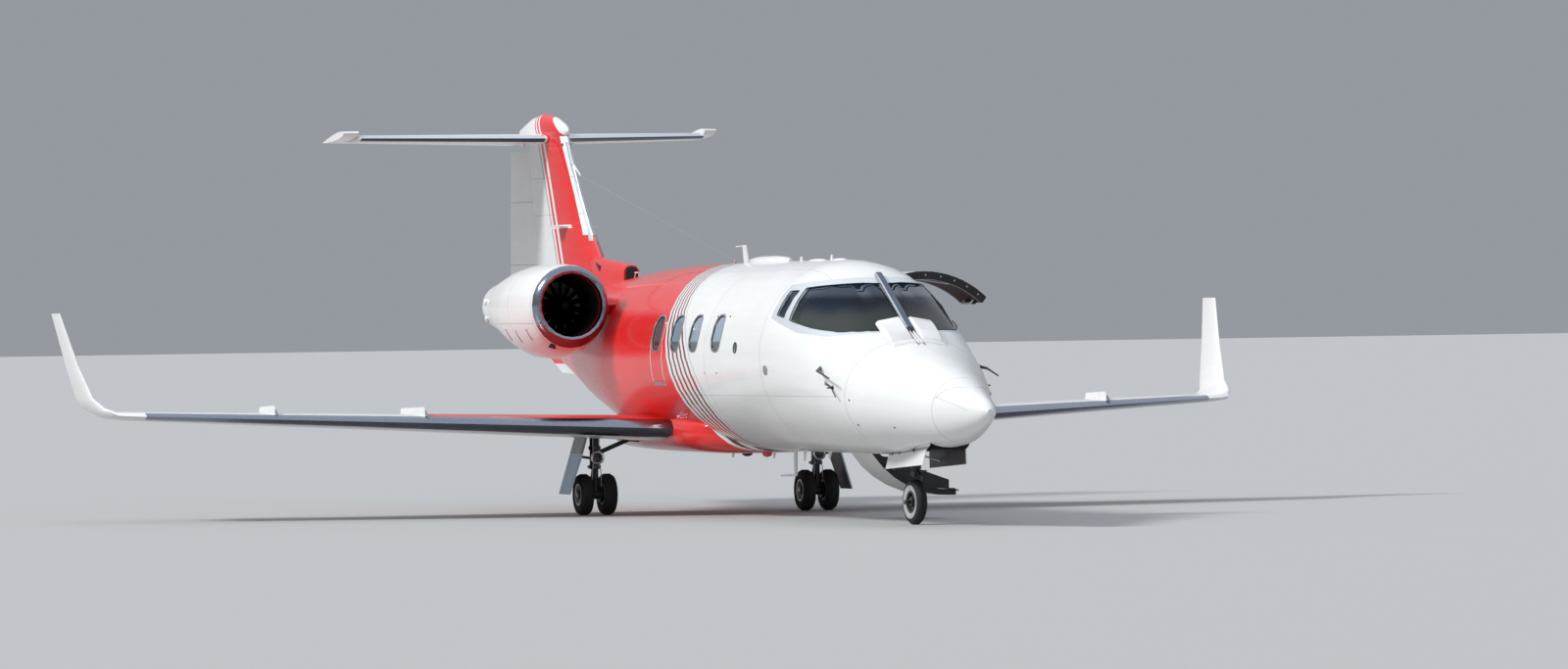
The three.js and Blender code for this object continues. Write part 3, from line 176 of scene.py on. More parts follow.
class StudioSettings(bpy.types.PropertyGroup):
    lens: FloatProperty(
        name="Lens", description="Focal length of the camera", default=205.03, min=20, max=400, unit="CAMERA",
    )
    floor: colour_setting("Floor", "Colour of the floor", (0.42, 0.42, 0.41, 1))
    walls: colour_setting("Walls", "Colour of the studio's walls near the floor", (0.30, 0.32, 0.35, 1))
    ceiling: colour_setting("Ceiling", "Colour of the soft light overhead", (0.76, 0.81, 0.90, 1))
    key_power: FloatProperty(
        name="Key light", description="Strength of the key light", default=2.75, min=0, subtype="FACTOR",
    )


class DetailSettings(bpy.types.PropertyGroup):
    gasket: FloatProperty(
        name="Gasket", description="Radius of the dark seal round each pane", default=0.005, min=0.001,
        subtype="DISTANCE", unit="LENGTH",
    )
    cloth_steps: IntProperty(
        name="Cloth steps", description="Frames that each padded piece is simulated for", default=16, min=1,
        max=40,
    )
    show_seams: BoolProperty(name="Seams", description="Add the piped seams of the cushions", default=True)


# Shader nodes


class Value:
    """A number that varies over a surface. Python's operators on it add Math nodes."""

    def __init__(self, finish, socket):
        self.finish = finish
        self.socket = socket

    def __add__(self, other):
        return self.finish.math("ADD", self, other)

    __radd__ = __add__

    def __sub__(self, other):
        return self.finish.math("SUBTRACT", self, other)

    def __rsub__(self, other):
        return self.finish.math("SUBTRACT", other, self)

    def __mul__(self, other):
        return self.finish.math("MULTIPLY", self, other)

    __rmul__ = __mul__

    def __truediv__(self, other):
        return self.finish.math("DIVIDE", self, other)

    def __abs__(self):
        return self.finish.math("ABSOLUTE", self)

    def __gt__(self, other):
        return self.finish.math("GREATER_THAN", self, other)

    def __lt__(self, other):
        return self.finish.math("LESS_THAN", self, other)

    def fract(self):
        return self.finish.math("FRACT", self)

    def smallest(self, other):
        return self.finish.math("MINIMUM", self, other)

    def largest(self, other):
        return self.finish.math("MAXIMUM", self, other)

    def ease(self, low, high):
        """0 at low to 1 at high, with soft ends."""
        settings = {"interpolation_type": "SMOOTHSTEP", "clamp": True}
        inputs = {"Value": self, "From Min": low, "From Max": high}
        return Value(self.finish, self.finish.add("ShaderNodeMapRange", settings, inputs).outputs["Result"])


class Finish:
    """The nodes that make one procedural material, or the studio's walls."""

    def __init__(self, tree):
        paint = bpy.context.scene.aircraft_paint
        self.white = tuple(paint.white)
        self.red = tuple(paint.red)
        self.stripe = tuple(paint.stripe)
        self.coat = paint.coat
        self.tree = tree
        self.tree.nodes.clear()
        self.place = self.add("ShaderNodeTexCoord").outputs["Object"]
        parts = self.add("ShaderNodeSeparateXYZ", {}, {"Vector": self.place})
        self.x = Value(self, parts.outputs["X"]) + OFFSET
        self.y = Value(self, parts.outputs["Y"])
        self.z = Value(self, parts.outputs["Z"])

    def add(self, kind, settings=None, inputs=None):
        """A node of the kind, its settings made first and then its sockets' values and links."""
        node = self.tree.nodes.new(kind)
        for key, value in (settings or {}).items():
            setattr(node, key, value)
        for key, value in (inputs or {}).items():
            source = value.socket if isinstance(value, Value) else value
            if isinstance(source, bpy.types.NodeSocket):
                self.tree.links.new(source, node.inputs[key])
            else:
                node.inputs[key].default_value = source
        return node

    def math(self, operation, *values):
        node = self.add("ShaderNodeMath", {"operation": operation}, dict(enumerate(values)))
        return Value(self, node.outputs[0])

    def noise(self, scale, detail=3.0, roughness=0.5, stretch=None):
        vector = self.place
        if stretch:
            vector = self.add("ShaderNodeMapping", {}, {"Vector": self.place, "Scale": stretch}).outputs[0]
        inputs = {"Vector": vector, "Scale": scale, "Detail": detail, "Roughness": roughness}
        return Value(self, self.add("ShaderNodeTexNoise", {}, inputs).outputs["Fac"])

    def cells(self, scale):
        """The distance to the middle of the nearest of many small cells."""
        inputs = {"Vector": self.place, "Scale": scale}
        return Value(self, self.add("ShaderNodeTexVoronoi", {}, inputs).outputs["Distance"])

    def mix(self, mask, first, second):
        """The first colour where the mask is 0 and the second where it is 1."""
        inputs = {0: mask, 6: first, 7: second}
        return self.add("ShaderNodeMix", {"data_type": "RGBA", "clamp_factor": True}, inputs).outputs[2]

    def shell(self, normal=None, **sockets):
        """The surface shader, from socket names written with underscores."""
        inputs = {name.replace("_", " "): value for name, value in sockets.items()}
        if normal is not None:
            inputs["Normal"] = normal
        return self.add("ShaderNodeBsdfPrincipled", {}, inputs).outputs["BSDF"]

    def bump(self, height, strength, distance):
        inputs = {"Height": height, "Strength": strength, "Distance": distance}
        return self.add("ShaderNodeBump", {}, inputs).outputs["Normal"]

    def close(self, shader, output="ShaderNodeOutputMaterial"):
        self.add(output, {}, {"Surface": shader})

    def surface(self, normal=None, **sockets):
        """Closes the material with one surface shader."""
        self.close(self.shell(normal, **sockets))


def shaded(colour, share, lift=0.0):
    """A colour made darker or lighter by a share, and then lifted."""
    return tuple(min(1.0, c * share + lift) for c in colour[:3]) + (1,)


def lines_at(position, places, half):
    """1 within half of any of the places, else 0."""
    mask = None
    for place in places:
        line = 1 - abs(position - place).ease(half * 0.6, half * 1.4)
        mask = line if mask is None else mask.largest(line)
    return mask


def cubic(value, terms):
    """A polynomial of a value, its terms from the constant up."""
    total = terms[-1]
    for term in reversed(terms[:-1]):
        total = value * total + term
    return total


# Bare metal in its darker and its lighter grain: a copy darkened as painted reflection, for the wings' and
# nacelles' leading edges, and a copy lightened as painted highlight, round the windshield and on the fin's
# leading edge
METAL_PAINTED_DARK_REFLECTION = ((0.19, 0.215, 0.26, 1), (0.34, 0.37, 0.42, 1))
METAL_PAINTED_HIGHLIGHT = ((0.62, 0.67, 0.70, 1), (0.80, 0.84, 0.86, 1))


def gloss_paint(f, colour, lines, metal=None, shades=METAL_PAINTED_DARK_REFLECTION, shine=1.0):
    """Coated paint with joints, a little wear in its gloss and, where metal is 1, bare polished metal."""
    dirt, joint_dark = (0.30, 0.29, 0.27, 1), (0.09, 0.09, 0.09, 1)
    worn = f.noise(1.7, 4.0, 0.6)
    fine = f.noise(60.0, 2.0, 0.5)
    streaks = f.noise(2.2, 3.0, 0.6, stretch=(0.35, 3.0, 6.0))
    shade = (worn * 0.5 + streaks * 0.5).ease(0.25, 0.75)
    colour = f.mix(0.10 - shade * 0.10, colour, dirt)
    colour = f.mix(lines * 0.60, colour, joint_dark)
    roughness = 0.20 + shade * 0.06 + fine * 0.03
    height = fine * 0.06 + worn * 0.2 - lines
    sockets = {"Base_Color": colour, "Roughness": roughness, "Specular_IOR_Level": 0.3}
    sockets.update({"Coat_Weight": f.coat, "Coat_Roughness": 0.04, "Coat_IOR": 1.4})
    if metal is not None:
        brushed = f.noise(40.0, 3.0, 0.6, stretch=(0.3, 1.0, 3.0))
        bare = f.mix(brushed, *shades)
        sockets["Base_Color"] = f.mix(metal, colour, bare)
        sockets["Metallic"] = metal * shine
        sockets["Roughness"] = roughness - metal * (0.10 - brushed * 0.06)
        sockets["Coat_Weight"] = (1 - metal) * f.coat
    f.surface(normal=f.bump(height, 0.25, 0.002), **sockets)


# X of the livery's front and rear edges, as cubics of the height above the middle
LIVERY_MIDDLE = 1.7
FRONT_EDGE = (2.598, -0.850, -0.263, 0.250)
AFT_EDGE = (1.777, -0.419, 0.089, -0.227)


def livery(f):
    """White ahead, red behind and five dark pinstripes between them."""
    pitch, first = 0.174, 0.22
    height = f.z - LIVERY_MIDDLE
    front = cubic(height, FRONT_EDGE)
    aft = cubic(height, AFT_EDGE)
    across = (f.x - aft) / (front - aft)
    red = 1 - across.ease(-0.012, 0.006)
    beat = abs((across / pitch - first).fract() - 0.5)
    dark = (1 - beat.ease(0.19, 0.24)) * (across > 0) * (across < 0.90)
    thin = 1 - abs(across - 0.99).ease(0.008, 0.020)
    colour = f.mix(red, f.white, f.red)
    colour = f.mix(dark, colour, f.stripe)
    return f.mix(thin * 0.55, colour, (0.16, 0.14, 0.14, 1))


def surround_of(f):
    """The bare-metal frame round the windshield and quarter window, seen from the side."""
    sill = (2.106 - (f.x - 5.078) * 0.201).largest(1.943 - (f.x - 5.888) * 0.081)
    sill = sill.largest(1.900 + (f.x - 6.420) * 0.076)
    head = (2.430 + (f.x - 5.05) * 0.08).smallest(2.505 - (f.x - 5.96) * 0.03)
    rear, front = 5.080 + (2.409 - f.z) * 0.156, 6.98
    edge = (f.z - sill).smallest(head - f.z).smallest(f.x - rear)
    return edge.ease(-0.003, 0.003) * (f.x < front)


HATCH = {"x": 1.40, "z": 1.73, "half_width": 0.20, "half_height": 0.33}


def hatch_outline(f):
    """A thin white line round the emergency exit on the starboard side."""
    across = abs(f.x - HATCH["x"]) - HATCH["half_width"]
    along = abs(f.z - HATCH["z"]) - HATCH["half_height"]
    edge = abs(across.largest(along))
    return (1 - edge.ease(0.004, 0.010)) * (f.y < 0)


def rivets_beside(f, places, off=0.022, pitch=0.030):
    """Small dots in a row at either side of each joint, spaced up the skin."""
    beat = 1 - abs((f.z / pitch).fract() - 0.5).ease(0.07, 0.13)
    return lines_at(f.x, [place + way * off for place in places for way in (1, -1)], 0.0028) * beat


def fuselage_paint(f):
    frames = (8.50, 7.10, 5.00, 3.10, 0.95, -0.60, -2.45, -4.10)
    joints = lines_at(f.x, frames, 0.0026)
    rivets = rivets_beside(f, frames[1:])
    laps = lines_at(abs(f.y), (0.42,), 0.0018) * (f.z > 2.3)
    sides = lines_at(f.z, (1.30,), 0.0018) * (f.x < 6.9)
    lines = joints.largest(laps).largest(sides).largest(rivets * 0.5)
    colour = f.mix(hatch_outline(f), livery(f), (0.75, 0.74, 0.72, 1))
    gloss_paint(f, colour, lines, surround_of(f), METAL_PAINTED_HIGHLIGHT, 0.4)


# Height where the fin's and the tailplane's bands are measured from
BAND_FOOT = 3.17


def fin_paint(f):
    """White, a red band between sloping edges, two pinstripes and a polished leading edge."""
    lead = (-4.21 - (f.z - 3.14) * 0.946).largest(-4.56 - (f.z - 3.51) * 0.811)
    lead = lead.largest(-4.86 - (f.z - 3.88) * 0.71)
    rise = f.z - BAND_FOOT
    front = -4.364 - rise * 0.83
    back = -5.11 - rise * 0.62
    root = (f.z < 3.057) * (f.x > (3.057 - f.z) * 0.55 - 4.33)
    band = (f.x < front).largest(root) * (f.x > back)
    colour = f.mix(band, f.white, f.red)
    behind = back - f.x
    dark = (behind > 0.09) * (behind < 0.18)
    grey = (behind > 0.26) * (behind < 0.30)
    colour = f.mix(dark, colour, f.red)
    colour = f.mix(grey, colour, (0.33, 0.35, 0.31, 1))
    blade = (abs(f.y) > 0.102) * (abs(f.z - 3.16) < 0.02)
    mast = abs(f.z - 3.70).ease(0.25, 0.26)
    colour = f.mix(blade.largest((f.x > lead + 0.02) * (1 - mast)), colour, f.white)
    polished = (f.x - lead).ease(-0.046, -0.040) * (f.z > 2.99) * (f.z < 4.12) * (f.x < lead + 0.012)
    joints = lines_at(f.z, (2.70, 3.30, 3.72), 0.0025)
    gloss_paint(f, colour, joints, polished, METAL_PAINTED_HIGHLIGHT, 0.7)


def rudder_paint(f):
    gloss_paint(f, f.white, lines_at(f.z, (2.74, 3.46), 0.003))


def wing_paint(f):
    """White, red inboard of the inner fence, with a polished leading edge."""
    fence, tip = 3.200, 6.05
    out = abs(f.y)
    lead = 1.570 - out * 0.36
    chord = 2.850 - out * 0.268
    share = (lead - f.x) / chord
    top = f.z > (0.905 + out * 0.038)
    red = (1 - out.ease(fence - 0.005, fence + 0.005)) * top
    colour = f.mix(red, f.white, f.red)
    # Painted shade: the underside is mixed toward grey.
    colour = f.mix((1 - top) * 0.35, colour, (0.50, 0.51, 0.52, 1))
    polished = (1 - share.ease(0.095, 0.10)) * (out < tip)
    spars = lines_at(share, (0.24, 0.60), 0.0012)
    ribs = lines_at(out, (1.9, 2.7, 3.6, 4.3, 5.1, 5.9), 0.0022) * (share > 0.10)
    gloss_paint(f, colour, spars.largest(ribs), polished)


def tailplane_paint(f):
    """White, the fin's band and pinstripes over its middle, and a leading edge light above and dark below."""
    out = abs(f.y)
    lead = -5.480 - out * 0.466
    polished = (f.x - lead).ease(-0.105, -0.10) * (out > 0.12) * (out < 2.05)
    ribs = lines_at(out, (0.60, 1.10, 1.62), 0.002)
    middle = 1 - out.ease(0.098, 0.102)
    rise = f.z - BAND_FOOT
    front = -5.11 - (f.z - 4.20).largest(0.0) * 2.0
    back = -5.03 - rise * 0.72
    band = (f.x < front) * (f.x > back) * middle
    behind = (back - f.x) * middle
    colour = f.mix(band, f.white, f.red)
    for near, far in ((0.06, 0.12), (0.18, 0.22)):
        colour = f.mix((behind > near) * (behind < far), colour, f.red)
    # Painted highlight and painted shade: the polished leading edge is light blue above its middle and near
    # black below.
    upper = (f.z - out * 0.018 - 4.170).ease(-0.006, 0.010)
    painted_shade_under, painted_highlight_grains = (0.02, 0.023, 0.03, 1), ((0.60, 0.66, 0.76, 1), (0.72, 0.77, 0.85, 1))
    shades = [f.mix(upper, painted_shade_under, light) for light in painted_highlight_grains]
    gloss_paint(f, colour, ribs, polished, shades, 0.7)


def nacelle_paint(f):
    lip_back, cowl_joints = -0.425, (-1.22, -2.30)
    joints = lines_at(f.x, (-0.475, *cowl_joints), 0.003)
    seam = lines_at(f.z, (2.070,), 0.003) * (f.x < -0.48) * (f.x > -2.2)
    rivets = rivets_beside(f, cowl_joints)
    polished = (f.x - lip_back).ease(-0.002, 0.002)
    gloss_paint(f, f.white, joints.largest(seam).largest(rivets * 0.5), polished)


def intake_paint(f):
    """Behind the lip the intake's wall is dark red, and black further in."""
    # Painted shade: black deeper in. Painted reflection: dark red just behind the lip.
    painted_depth_shade = 1 - f.x.ease(-0.480, -0.470)
    grain = f.noise(70.0, 3.0, 0.6)
    tint = f.mix(painted_depth_shade, (0.30, 0.012, 0.012, 1), (0.004, 0.004, 0.004, 1))
    tint = f.mix(grain * 0.15, tint, (0.010, 0.009, 0.009, 1))
    f.surface(Base_Color=tint, Roughness=0.35 + painted_depth_shade * 0.4, normal=f.bump(grain, 0.2, 0.001))


def ventral_paint(f):
    """White below and red at the root."""
    root = f.z.ease(1.600, 1.608)
    gloss_paint(f, f.mix(root, f.white, f.red), f.noise(9.0) * 0.02)


def gear_door_paint(f):
    """Pale blue-grey below and grey primer above, with the joint of its two panels."""
    joint = 0.670
    low = 1 - f.z.ease(joint - 0.002, joint + 0.002)
    # Painted shade: the lower panel is pale blue-grey.
    colour = f.mix(low, (0.26, 0.265, 0.25, 1), (0.42, 0.52, 0.63, 1))
    gloss_paint(f, colour, lines_at(f.z, (joint,), 0.004))


def nose_door_paint(f):
    """White, in two parts with a grey hinge line between them."""
    over = f.z - HINGE_LINE["z"] - (f.x - HINGE_LINE["x"]) * HINGE_LINE["slope"]
    colour = f.mix(1 - abs(over).ease(0.008, 0.011), f.white, (0.23, 0.24, 0.24, 1))
    gloss_paint(f, colour, lines_at(over, (0.012, -0.012), 0.003))


def white_paint(f):
    gloss_paint(f, f.white, f.noise(9.0) * 0.02)


def red_paint(f):
    gloss_paint(f, f.red, f.noise(9.0) * 0.02)


def wheel_paint(f):
    """A light painted rim with a dark centre, found from the distance to the nearest axle."""
    main_centre, nose_centre = 0.068, 0.112
    ahead = f.x > NOSE_HALF_X
    across = f.x - ahead * NOSE_AXLE_X
    up = f.z - (ahead * (NOSE_AXLE_Z - AXLE_Z) + AXLE_Z)
    out = f.math("SQRT", across * across + up * up)
    wear = f.noise(24.0, 4.0, 0.6)
    rim = ahead * (nose_centre - main_centre) + main_centre
    ring = out.ease(rim, rim + 0.004)
    tint = f.mix(ring, (0.030, 0.030, 0.032, 1), (0.62, 0.62, 0.60, 1))
    tint = f.mix(wear.ease(0.45, 0.85) * 0.6, tint, (0.10, 0.095, 0.085, 1))
    height = wear * 0.2 + f.noise(180.0, 2.0, 0.5) * 0.1
    normal = f.bump(height, 0.3, 0.001)
    f.surface(Base_Color=tint, Metallic=ring * 0.6, Roughness=0.30 + wear * 0.2, normal=normal)


def tyre_rubber(f):
    """Worn rubber, with the tread grooves of the main and nose tyres found from the wheel's middle plane."""
    main = abs(abs(abs(f.y) - TRACK_HALF) - TWIN_HALF)
    nose = abs(f.y * math.cos(STEERED) - (f.x - NOSE_STEER_X) * math.sin(STEERED))
    ahead = f.x > NOSE_HALF_X
    off = main * (1 - ahead) + nose * ahead
    grooves_and_shade = lines_at(off, (0.012, 0.034), 0.0035)
    dust = f.noise(25.0, 4.0, 0.6)
    fine = f.noise(260.0, 2.0, 0.6)
    tint = f.mix(dust.ease(0.35, 0.8) * 0.5, (0.010, 0.010, 0.011, 1), (0.030, 0.029, 0.027, 1))
    # Painted shade darkens the grooves.
    tint = f.mix(grooves_and_shade * 0.8, tint, (0.004, 0.004, 0.004, 1))
    f.surface(Base_Color=tint, Roughness=0.72 + dust * 0.15, normal=f.bump(fine * 0.08 - grooves_and_shade, 0.6, 0.004))


def metal_finish(colour, roughness, grain=180.0):
    """Bare metal with a fine grain and some handling marks."""

    def make(f):
        fine = f.noise(grain, 2.0, 0.6)
        marks = f.noise(14.0, 4.0, 0.6)
        tint = f.mix(marks.ease(0.35, 0.75) * 0.45, colour, shaded(colour, 0.55))
        rough = roughness + marks * 0.14 + fine * 0.05
        f.surface(Base_Color=tint, Metallic=1.0, Roughness=rough, normal=f.bump(fine, 0.12, 0.0006))

    return make


def satin_finish(colour, roughness, grain=90.0, depth=0.0008, spread=0.35):
    """Paint, plastic or rubber with a fine texture and uneven wear."""

    def make(f):
        fine = f.noise(grain, 3.0, 0.6)
        wear = f.noise(6.0, 4.0, 0.6).ease(0.3, 0.8)
        tint = f.mix(wear * 0.8, colour, shaded(colour, 1 + spread, 0.01))
        f.surface(Base_Color=tint, Roughness=roughness + wear * 0.1, normal=f.bump(fine, 0.3, depth))

    return make


def pane_shader(f, tint, body, weight):
    """A tinted pane: seen through at a steep angle and mirror-like at a low one."""
    haze = f.noise(3.0, 3.0, 0.6)
    clear = f.add("ShaderNodeBsdfTransparent", {}, {"Color": tint}).outputs[0]
    gloss = f.shell(Base_Color=body, Roughness=0.03 + haze * 0.02, Coat_Weight=0.3, Specular_IOR_Level=0.3)
    facing = Value(f, f.add("ShaderNodeFresnel", {}, {"IOR": 1.5}).outputs[0])
    mask = (facing * 1.2 + weight + haze * 0.06).smallest(1.0)
    f.close(f.add("ShaderNodeMixShader", {}, {0: mask, 1: clear, 2: gloss}).outputs[0])


def cockpit_pane(f):
    """Navy at the head, with the pale haze of the ground low down."""
    reflected_cloud = f.noise(1.6, 3.0, 0.6)
    # Painted reflection: the pane is pale low down, standing for the reflected ground.
    low = 1 - (f.z + reflected_cloud * 0.16).ease(2.14, 2.34)
    tint = f.mix(low * 0.75, (0.008, 0.018, 0.040, 1), (0.120, 0.130, 0.115, 1))
    shade = f.z.ease(2.27, 2.35) * 0.6
    pane_shader(f, (0.80, 0.83, 0.85, 1), tint, shade + 0.16)


def cabin_pane(f):
    """A light blue-grey pane with a shade half drawn behind it. The hatch's pane is red and dark."""
    low = 1 - f.z.ease(1.845, 1.875)
    reflected_cloud = f.noise(2.5, 3.0, 0.6)
    # Painted reflection of the sky in light blue-grey, darker low down, and a dark red painted reflection on
    # the hatch's pane.
    tint = f.mix(reflected_cloud, (0.22, 0.30, 0.38, 1), (0.34, 0.42, 0.48, 1))
    tint = f.mix(low * 0.85, tint, (0.035, 0.045, 0.05, 1))
    tint = f.mix((f.x < 1.65) * 0.8, tint, (0.16, 0.05, 0.055, 1))
    f.surface(Base_Color=tint, Roughness=0.06 + reflected_cloud * 0.04, Coat_Weight=1.0, Coat_Roughness=0.03)


def lamp_glass(colour):
    """Moulded glass with a fine pattern of cells."""

    def make(f):
        bright = f.cells(160.0)
        tint = f.mix(bright * 0.7, colour, shaded(colour, 1.8, 0.05))
        f.surface(Base_Color=tint, Roughness=0.08 + bright * 0.05, Coat_Weight=1.0, Coat_Roughness=0.02)

    return make


def leather(colour):
    """Seat leather: pebbled grain, soft creases and a slightly worn sheen."""

    def make(f):
        grain = f.cells(420.0)
        crease_and_shade = f.noise(11.0, 5.0, 0.7)
        # Painted shade darkens the creases.
        tint = f.mix(crease_and_shade.ease(0.3, 0.75) * 0.5, colour, shaded(colour, 0.6))
        normal = f.bump(grain * 0.6 + crease_and_shade * 0.5, 0.5, 0.0015)
        f.surface(Base_Color=tint, Roughness=0.42 + crease_and_shade * 0.18, normal=normal, Sheen_Weight=0.1)

    return make


def woven(colour, thread=700.0):
    """Woven cloth: crossing threads seen as fine ribs in both directions."""

    def make(f):
        rib = abs((f.x * thread / 6.0).fract() - 0.5) + abs((f.y * thread / 6.0).fract() - 0.5)
        soft = f.noise(8.0, 4.0, 0.6)
        tint = f.mix(rib * 0.4, colour, shaded(colour, 0.7))
        tint = f.mix(soft.ease(0.3, 0.8) * 0.25, tint, shaded(colour, 0.75))
        normal = f.bump(rib + soft * 0.5, 0.35, 0.001)
        f.surface(Base_Color=tint, Roughness=0.85 + soft * 0.1, normal=normal, Sheen_Weight=0.3)

    return make


def floor_finish(f):
    grain = f.noise(0.8, 4.0, 0.5)
    base = tuple(bpy.context.scene.aircraft_studio.floor)
    tint = f.mix(grain * 0.15, base, shaded(base, 0.93))
    f.surface(Base_Color=tint, Roughness=0.65 + grain * 0.05)


# What makes each finish, under the record's material slot that it belongs to. The studio's floor has none
MAKERS_BY_SLOT = {
    "white_paint": {
        "fuselage_paint": fuselage_paint,
        "fin_paint": fin_paint,
        "rudder_paint": rudder_paint,
        "wing_paint": wing_paint,
        "tailplane_paint": tailplane_paint,
        "nacelle_paint": nacelle_paint,
        "ventral_paint": ventral_paint,
        "gear_door_paint": gear_door_paint,
        "nose_door_paint": nose_door_paint,
        "white_paint": white_paint,
    },
    "red_paint": {"red_paint": red_paint},
    "polished_metal": {
        "polished_metal": metal_finish((0.80, 0.81, 0.83, 1), 0.12, 240.0),
        "satin_metal": metal_finish((0.56, 0.57, 0.58, 1), 0.30),
    },
    "gear_metal": {
        "dark_metal": metal_finish((0.11, 0.11, 0.115, 1), 0.38),
        # The fan is near black as painted shade deep in the intake.
        "fan_painted_shade": metal_finish((0.012, 0.012, 0.014, 1), 0.42),
        "burnt_metal": metal_finish((0.26, 0.23, 0.20, 1), 0.36),
        "lamp_bowl": metal_finish((0.060, 0.062, 0.070, 1), 0.10),
        "gear_black_and_painted_shade": satin_finish((0.016, 0.016, 0.018, 1), 0.40),
        # A painted reflection of the sky on the polished post.
        "post_grey": satin_finish((0.055, 0.075, 0.115, 1), 0.35),
        "intake_paint": intake_paint,
    },
    "wheel_metal": {"wheel_paint": wheel_paint},
    "tyre_rubber": {
        "tyre_rubber": tyre_rubber,
        # Black seals, also used for dark sheets of painted shade over openings.
        "rubber_seal": satin_finish((0.012, 0.012, 0.013, 1), 0.62),
    },
    "window_glass": {
        "cockpit_pane": cockpit_pane,
        "cabin_pane": cabin_pane,
        "clear_lens": lamp_glass((0.55, 0.57, 0.60, 1)),
        "red_lens": lamp_glass((0.42, 0.012, 0.012, 1)),
        "display_glass": lamp_glass((0.010, 0.016, 0.024, 1)),
    },
    "cabin_trim": {
        # Dark brown lining of the door, partly its own colour and partly painted shade.
        "door_lining_and_painted_shade": satin_finish((0.045, 0.030, 0.022, 1), 0.50),
        "cabin_lining": satin_finish((0.60, 0.57, 0.50, 1), 0.55, 160.0, 0.0005, 0.08),
        "panel_black": satin_finish((0.020, 0.021, 0.023, 1), 0.55, 220.0, 0.0006),
        "step_grip": satin_finish((0.020, 0.020, 0.021, 1), 0.70, 380.0, 0.0015),
        "carpet": woven((0.075, 0.080, 0.095, 1), 420.0),
    },
    "seat_leather": {
        "seat_leather": leather((0.115, 0.120, 0.135, 1)),
        "pad_vinyl": leather((0.030, 0.055, 0.095, 1)),
        "headrest_fleece": woven((0.58, 0.54, 0.46, 1), 300.0),
        "pillow_cotton": woven((0.72, 0.73, 0.72, 1)),
        "webbing": woven((0.020, 0.022, 0.030, 1), 900.0),
    },
    None: {"floor_finish": floor_finish},
}
SLOT_OF = {name: slot for slot, makers in MAKERS_BY_SLOT.items() for name in makers}
MADE = {}


def finish_of(name):
    """Each finish is made once, by the function with its name in the table."""
    if name not in MADE:
        MADE[name] = bpy.data.materials.new(name)
        MADE[name].use_nodes = True
        MAKERS_BY_SLOT[SLOT_OF[name]][name](Finish(MADE[name].node_tree))
    return MADE[name]


# Mesh building


def cleaned(mesh, distance, outward=False):
    """Merges points that lie together and, where asked, turns the faces outward."""
    kit = bmesh.new()
    kit.from_mesh(mesh)
    bmesh.ops.remove_doubles(kit, verts=kit.verts, dist=distance)
    if outward:
        bmesh.ops.recalc_face_normals(kit, faces=kit.faces)
    kit.to_mesh(mesh)
    kit.free()


def piece(name, points, faces, finish, body="airframe", sharp=38, bevel=0):
    """A mesh object that rides on a body, shaded smooth except across sharp edges."""
    mesh = bpy.data.meshes.new(name)
    mesh.from_pydata([tuple(p) for p in points], [], faces)
    cleaned(mesh, 1e-6, outward=True)
    return shown(name, mesh, [finish], body, sharp, bevel)


def shown(name, mesh, finishes, body, sharp=38, bevel=0):
    """Links a mesh as an object with its finishes, its body and its material slot."""
    obj = bpy.data.objects.new(name, mesh)
    bpy.context.scene.collection.objects.link(obj)
    for finish in finishes:
        mesh.materials.append(finish_of(finish))
    mesh.polygons.foreach_set("use_smooth", [True] * len(mesh.polygons))
    mesh.set_sharp_from_angle(angle=math.radians(sharp))
    if bevel:
        edge = obj.modifiers.new("Edge", "BEVEL")
        edge.width = bevel
        edge.segments = 2
        edge.limit_method = "ANGLE"
        edge.angle_limit = math.radians(40)
        edge.harden_normals = True
    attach(obj, body)
    return obj


def dressed(node, finishes, sharp=38, zone=None, normal=None, bevel=0):
    """Stands a smooth-shaded piece of the same shape for a node. A zone gives each face its finish, and a
    normal gives a point its true direction where the face already lies close to it."""
    closely = 0.955
    source = NODES[node].data
    mesh = bpy.data.meshes.new(node + "_skin")
    faces = [tuple(face.vertices) for face in source.polygons]
    mesh.from_pydata([tuple(v.co) for v in source.vertices], [], faces)
    cleaned(mesh, 2e-6)
    names = [finishes] if isinstance(finishes, str) else list(finishes)
    obj = shown(node + "_skin", mesh, names, BODY_OF[node], sharp, bevel)
    if zone:
        for face in mesh.polygons:
            face.material_index = zone(face.center, face.normal)
    if normal:
        turned = [tuple(n.vector) for n in mesh.corner_normals]
        for face in mesh.polygons:
            for corner in face.loop_indices:
                true = normal(mesh.vertices[mesh.loops[corner].vertex_index].co)
                if true is not None and true.dot(face.normal) > closely:
                    turned[corner] = tuple(true)
        mesh.normals_split_custom_set(turned)
    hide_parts(node)
    return obj


def loft(rings, closed=False):
    """Points and faces of a skin through like rings, capped at both ends unless it closes on itself."""
    count = len(rings[0])
    points = [p for ring in rings for p in ring]
    faces = []
    for r in range(len(rings) if closed else len(rings) - 1):
        here, there = r * count, (r + 1) % len(rings) * count
        for i in range(count):
            j = (i + 1) % count
            faces.append((here + i, here + j, there + j, there + i))
    if not closed:
        faces.append(tuple(reversed(range(count))))
        faces.append(tuple(range(len(points) - count, len(points))))
    return points, faces


def sweep(path, radius, sides=12, closed=False):
    """A round tube along a path. The radius is one number or one for each point."""
    path = [Vector(p) for p in path]
    radii = radius if isinstance(radius, (list, tuple)) else [radius] * len(path)
    rings = []
    side = None
    for i, point in enumerate(path):
        before = path[i - 1] if i or closed else point
        after = path[(i + 1) % len(path)] if i + 1 < len(path) or closed else point
        along = (after - before).normalized()
        if side is None:
            side = along.orthogonal().normalized()
        side = (side - along * side.dot(along)).normalized()
        other = along.cross(side)
        rings.append([point + (side * math.cos(t) + other * math.sin(t)) * radii[i] for t in turns(sides)])
    return loft(rings, closed)


